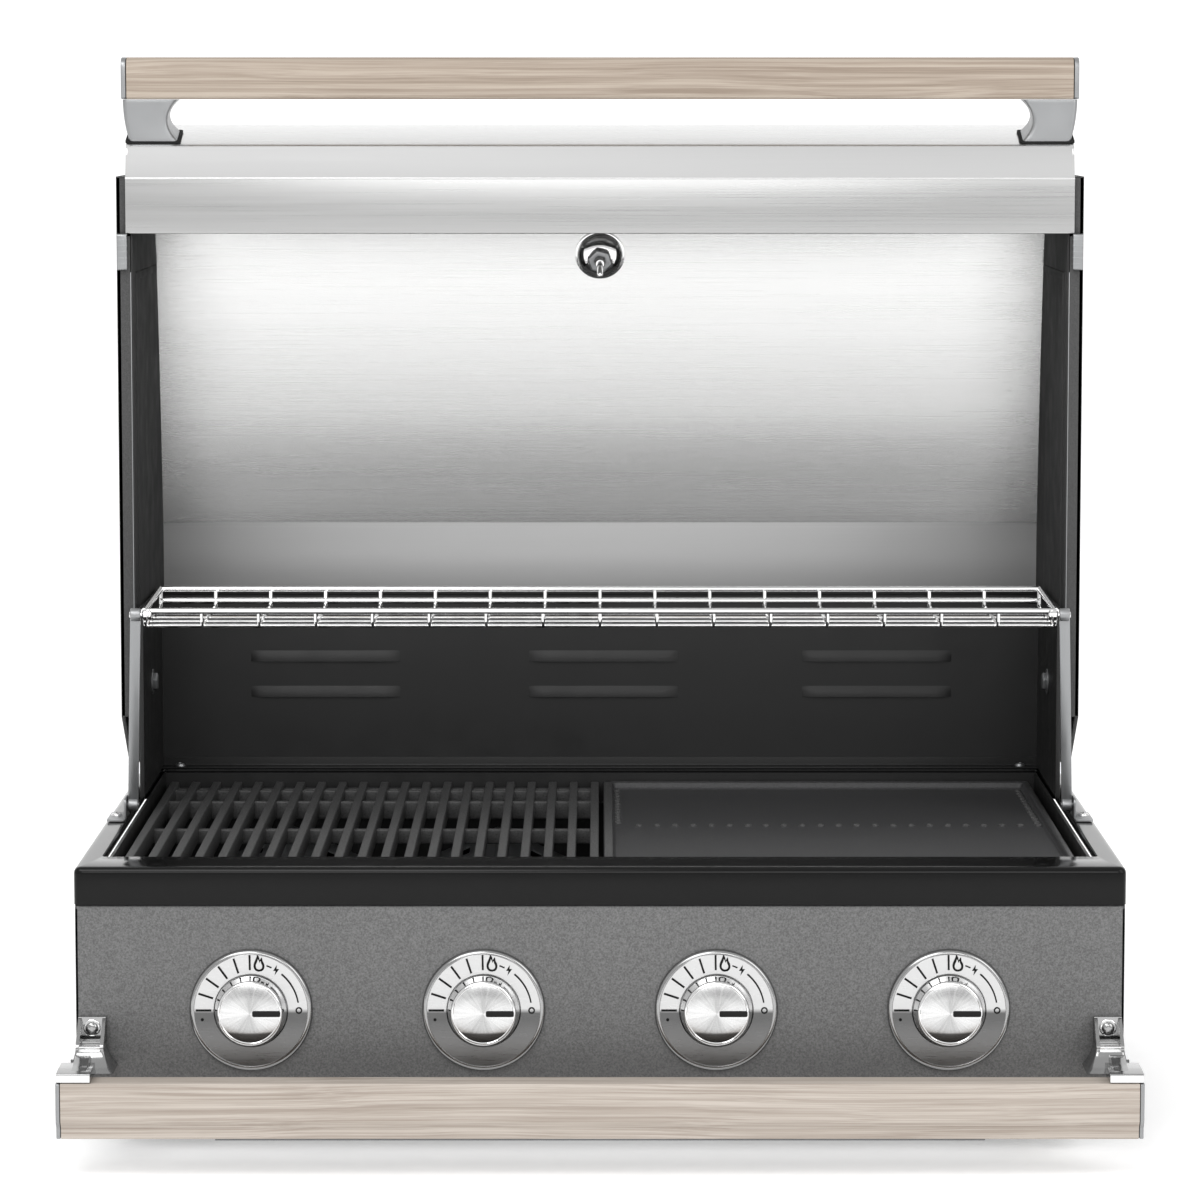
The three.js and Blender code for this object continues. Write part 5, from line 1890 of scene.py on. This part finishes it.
@dataclass
class Rail:
    """The wooden front rail with its end caps and chrome brackets."""

    datum: Datum
    half: float = 408.0
    cap: float = 3.0
    depth: Point = (-75.0, -49.0)
    height: Point = (-195.0, -152.0)
    chamfer: Point = (8.5, 13.5)

    def section(self, inset: float = 0.0) -> list[Point]:
        """Returns the rail's section, chamfered back above its lower edge.

        Args:
            inset: how far it is moved inwards.

        Returns:
            The section, as [y, z] points.
        """
        (y0, y1), (z0, z1) = self.depth, self.height
        corners = [(y0, z0 + self.chamfer[1]), (y0 + 4, z0 + self.chamfer[0]), (y0 + 4, z0)]
        corners += [(y1, z0), (y1, z1), (y0, z1)]
        middle = Vector(((y0 + y1) / 2, (z0 + z1) / 2))
        shrunk = [Vector(c) + (middle - Vector(c)).normalized() * inset for c in corners]
        return rounded([tuple(c) for c in shrunk], 1.3, 4)

    def wood(self) -> None:
        """Builds the rail and its caps."""
        inner = self.half - self.cap - 0.5
        rail = Shape().prism(self.datum.at, self.section(), (-inner, inner))
        fit(rail.done("front_rail_wood", Coatings.WOOD, 0.5), ROOT, "wood", "front_rail")
        for name, side in SIDES.items():
            seam = Shape().prism(self.datum.at, self.section(1.0), sided(side, inner - 0.5, inner + 0.7))
            fit(seam.done(f"rail_seam_{name}", Coatings.RUBBER), ROOT, "black_plastic")
            span = sided(side, self.half - self.cap, self.half)
            cap = Shape().prism(self.datum.at, self.section(), span)
            piece = cap.done(f"rail_cap_{name}", Coatings.SILVER, 0.8, 3)
            fit(piece, ROOT, "silver_metal", f"rail_end_cap_{name}")

    def casting(self, side: int) -> bpy.types.Object:
        """Builds a bracket's casting: a channel on the fascia, a flared base and a foot on the rail.

        Args:
            side: -1 on the left and 1 on the right.

        Returns:
            The piece.
        """
        at = self.datum.at
        plate = Shape()
        plate.box(at, sided(side, 377, 398), (-3.3, -0.3), (-139, -115))
        cheek = rounded([(-0.4, -115.6), (-3.6, -115.6), (-25, -133.5), (-25, -141), (-0.4, -141)], 2.2, 4)
        for x0, x1 in ((377, 379.6), (395.4, 398)):
            plate.prism(at, cheek, sided(side, x0, x1))
        plate.box(at, sided(side, 379, 396), (-15.5, -12.5), (-141, -131.6))
        rings = []
        for t in spread(7, 0.0, 1.0):
            flare = t * t
            x0, x1 = 376.6 - 8.6 * flare, 398.2 + 5 * flare
            y0, z = -24 - 16 * flare, -133.6 - 18 * t
            corners = rounded([(x0, y0), (x1, y0), (x1, -0.4), (x0, -0.4)], 2.5, 4)
            rings.append([at(side * x, y, z) for x, y in corners])
        plate.rings(rings)
        for y in (-27.5, -32.5):
            top = -143 + (y + 27.5) * 0.5
            plate.box(at, sided(side, 396, 401.4), (y - 1.2, y + 1.2), (-151, top))
        foot = [(-74.5, -151.7), (-74.5, -144.6), (-58, -143.6), (-36, -143.6), (-36, -151.7)]
        plate.prism(at, rounded(foot, 1.2, 4), sided(side, 382, 407.4))
        ridge = [(-70, -144.6), (-52, -142.4), (-38, -139), (-28, -139), (-28, -146), (-70, -146)]
        plate.prism(at, rounded(ridge, 3, 4), sided(side, 386, 397))
        # the bracket's chrome casting wears the darker chrome copy as painted shade
        return plate.done("bracket_body", Coatings.SHADED_CHROME, 0.7, 3)

    def chrome_highlight_strips(self, side: int) -> bpy.types.Object:
        """Builds thin bright chrome strips along a bracket's edges, a painted highlight, and the washer under
        its bolt.

        Args:
            side: -1 on the left and 1 on the right.

        Returns:
            The piece.
        """
        at = self.datum.at
        bright = Shape()
        # painted highlight: thin strips of bright chrome laid on the darker chrome casting's edges and on its
        # foot's front
        for x0, x1 in ((376.9, 379.7), (395.3, 398.1)):
            edge = [(-3.2, -117), (-24.9, -135), (-25.4, -134.4), (-3.7, -116.4)]
            bright.prism(at, edge, sided(side, x0, x1))
        bright.box(at, sided(side, 379.6, 395.4), (-25.2, -24), (-135.6, -133.8))
        bright.box(at, sided(side, 382.2, 407.2), (-75.0, -74.3), (-151, -145.2))
        head, forward = self.bolt_head(side)
        bright.lathe(head, forward, [(0, 0), (6.6, 0), (6.6, 0.7), (5.8, 1.1), (0, 1.1)], 36)
        return bright.done("bracket_trims", Coatings.CHROME, 0.2)

    def bolt(self, side: int) -> bpy.types.Object:
        """Builds the domed bolt that holds a bracket."""
        head, forward = self.bolt_head(side)
        dome = [(0, 1), (4.8, 1), (4.8, 2.4), (4.0, 3.5), (2.4, 4.2), (0, 4.4)]
        bolt = Shape().lathe(head, forward, dome, 32)
        bolt.lathe(head, forward, [(0, 4.2), (1.6, 4.2), (1.6, 4.6), (0, 4.6)], 6)
        return bolt.done("bracket_bolt", Coatings.SHADED_CHROME)

    def bolt_head(self, side: int) -> tuple[Vector, Vector]:
        """Returns the seat of a bracket's bolt and the direction that its head faces."""
        return self.datum.at(side * 387.5, -3.2, -123.5), Vector((0, -1, 0))

    def bracket(self, name: str, side: int) -> None:
        """Puts a chrome bracket together.

        Args:
            name: the piece's side, left or right.
            side: -1 on the left and 1 on the right.
        """
        parts = [self.casting(side), self.chrome_highlight_strips(side), self.bolt(side)]
        fit(join(f"chrome_bracket_{name}", parts), ROOT, "chrome", f"rail_bracket_{name}")

    def build(self) -> None:
        """Builds the rail."""
        self.wood()
        for name, side in SIDES.items():
            self.bracket(name, side)


# ---------------------------------------------------------------- studio


@dataclass
class Studio:
    """A pale sweep, soft lights and the camera."""

    camera_at: tuple[float, float, float] = (0.0, -3.874, 0.813)
    pitch: float = 6.1
    lens: float = 142.8
    world: float = 0.82
    paper_glow: float = 0.3
    lights: tuple[tuple, ...] = (
        ("key_light", (-1.3, -2.6, 3.4), 0.35, (2.6, 1.8), 62),
        ("fill_light", (2.4, -2.2, 1.9), 0.3, (1.6, 2.2), 24),
        ("front_light", (0.0, -4.6, 2.2), 0.25, (3.0, 1.2), 36),
    )

    def sweep(self) -> None:
        """Builds the floor, which curves up into the backdrop."""
        line = [(-9.0, 0.0), (5.2, 0.0), *arc((5.2, 2.0), 2.0, -90, 0, 24)[1:], (7.2, 9.0)]
        mesh = bpy.data.meshes.new("studio_sweep")
        verts = [(x, y, z) for y, z in line for x in (-9.0, 9.0)]
        faces = [(2 * i, 2 * i + 1, 2 * i + 3, 2 * i + 2) for i in range(len(line) - 1)]
        mesh.from_pydata(verts, [], faces)
        mesh.shade_smooth()
        paper = Finish("studio_paper", (0.92, 0.92, 0.92), 0.8, sheen=0.0)
        floor = new_object("studio_sweep", mesh, paper)
        shader = floor.data.materials[0].node_tree.nodes["Principled BSDF"].inputs
        shader["Emission Color"].default_value = (1, 1, 1, 1)
        shader["Emission Strength"].default_value = self.paper_glow

    def light(
        self, name: str, place: Sequence[float], target: Sequence[float], size: Point, power: float
    ) -> None:
        """Adds a soft rectangular light that looks at a target.

        Args:
            name: the light's name.
            place: where it hangs.
            target: what it looks at.
            size: its width and height in metres.
            power: its power in watts.
        """
        data = bpy.data.lights.new(name, "AREA")
        data.shape = "RECTANGLE"
        data.size, data.size_y = size
        data.energy = power
        lamp = bpy.data.objects.new(name, data)
        lamp.location = place
        aim = Vector(target) - Vector(place)
        lamp.rotation_euler = aim.to_track_quat("-Z", "Y").to_euler()
        bpy.context.scene.collection.objects.link(lamp)

    def build(self) -> None:
        """Builds the studio."""
        scene = bpy.context.scene
        scene.view_settings.view_transform = "Standard"
        world = bpy.data.worlds.new("studio_world")
        world.use_nodes = True
        sky = world.node_tree.nodes["Background"].inputs
        sky["Color"].default_value = (1, 1, 1, 1)
        sky["Strength"].default_value = self.world
        scene.world = world
        self.sweep()
        for name, place, aim, size, power in self.lights:
            self.light(name, place, (0, 0, aim), size, power)
        data = bpy.data.cameras.new("studio_camera")
        data.lens, data.sensor_width = self.lens, 36.0
        data.clip_start, data.clip_end = 0.05, 60.0
        camera = bpy.data.objects.new("studio_camera", data)
        camera.location = self.camera_at
        camera.rotation_euler = (math.radians(90 - self.pitch), 0, 0)
        scene.collection.objects.link(camera)
        scene.camera = camera


# ---------------------------------------------------------------- all together


def main() -> None:
    """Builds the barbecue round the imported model."""
    logging.basicConfig(level=logging.INFO, format="%(name)s: %(message)s")
    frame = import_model()
    datum = Datum.from_frame(frame["joints"])
    repeat = Repeater()
    Studio().build()
    Wardrobe(frame["nodes"]).dress()
    parts = (
        Body(datum, repeat),
        Hood(datum),
        Controls(datum),
        Grates(datum, repeat),
        Rack(datum, repeat),
        Rail(datum),
    )
    for part in parts:
        LOG.info("building %s", type(part).__name__)
        part.build()


if __name__ == "__main__":
    main()
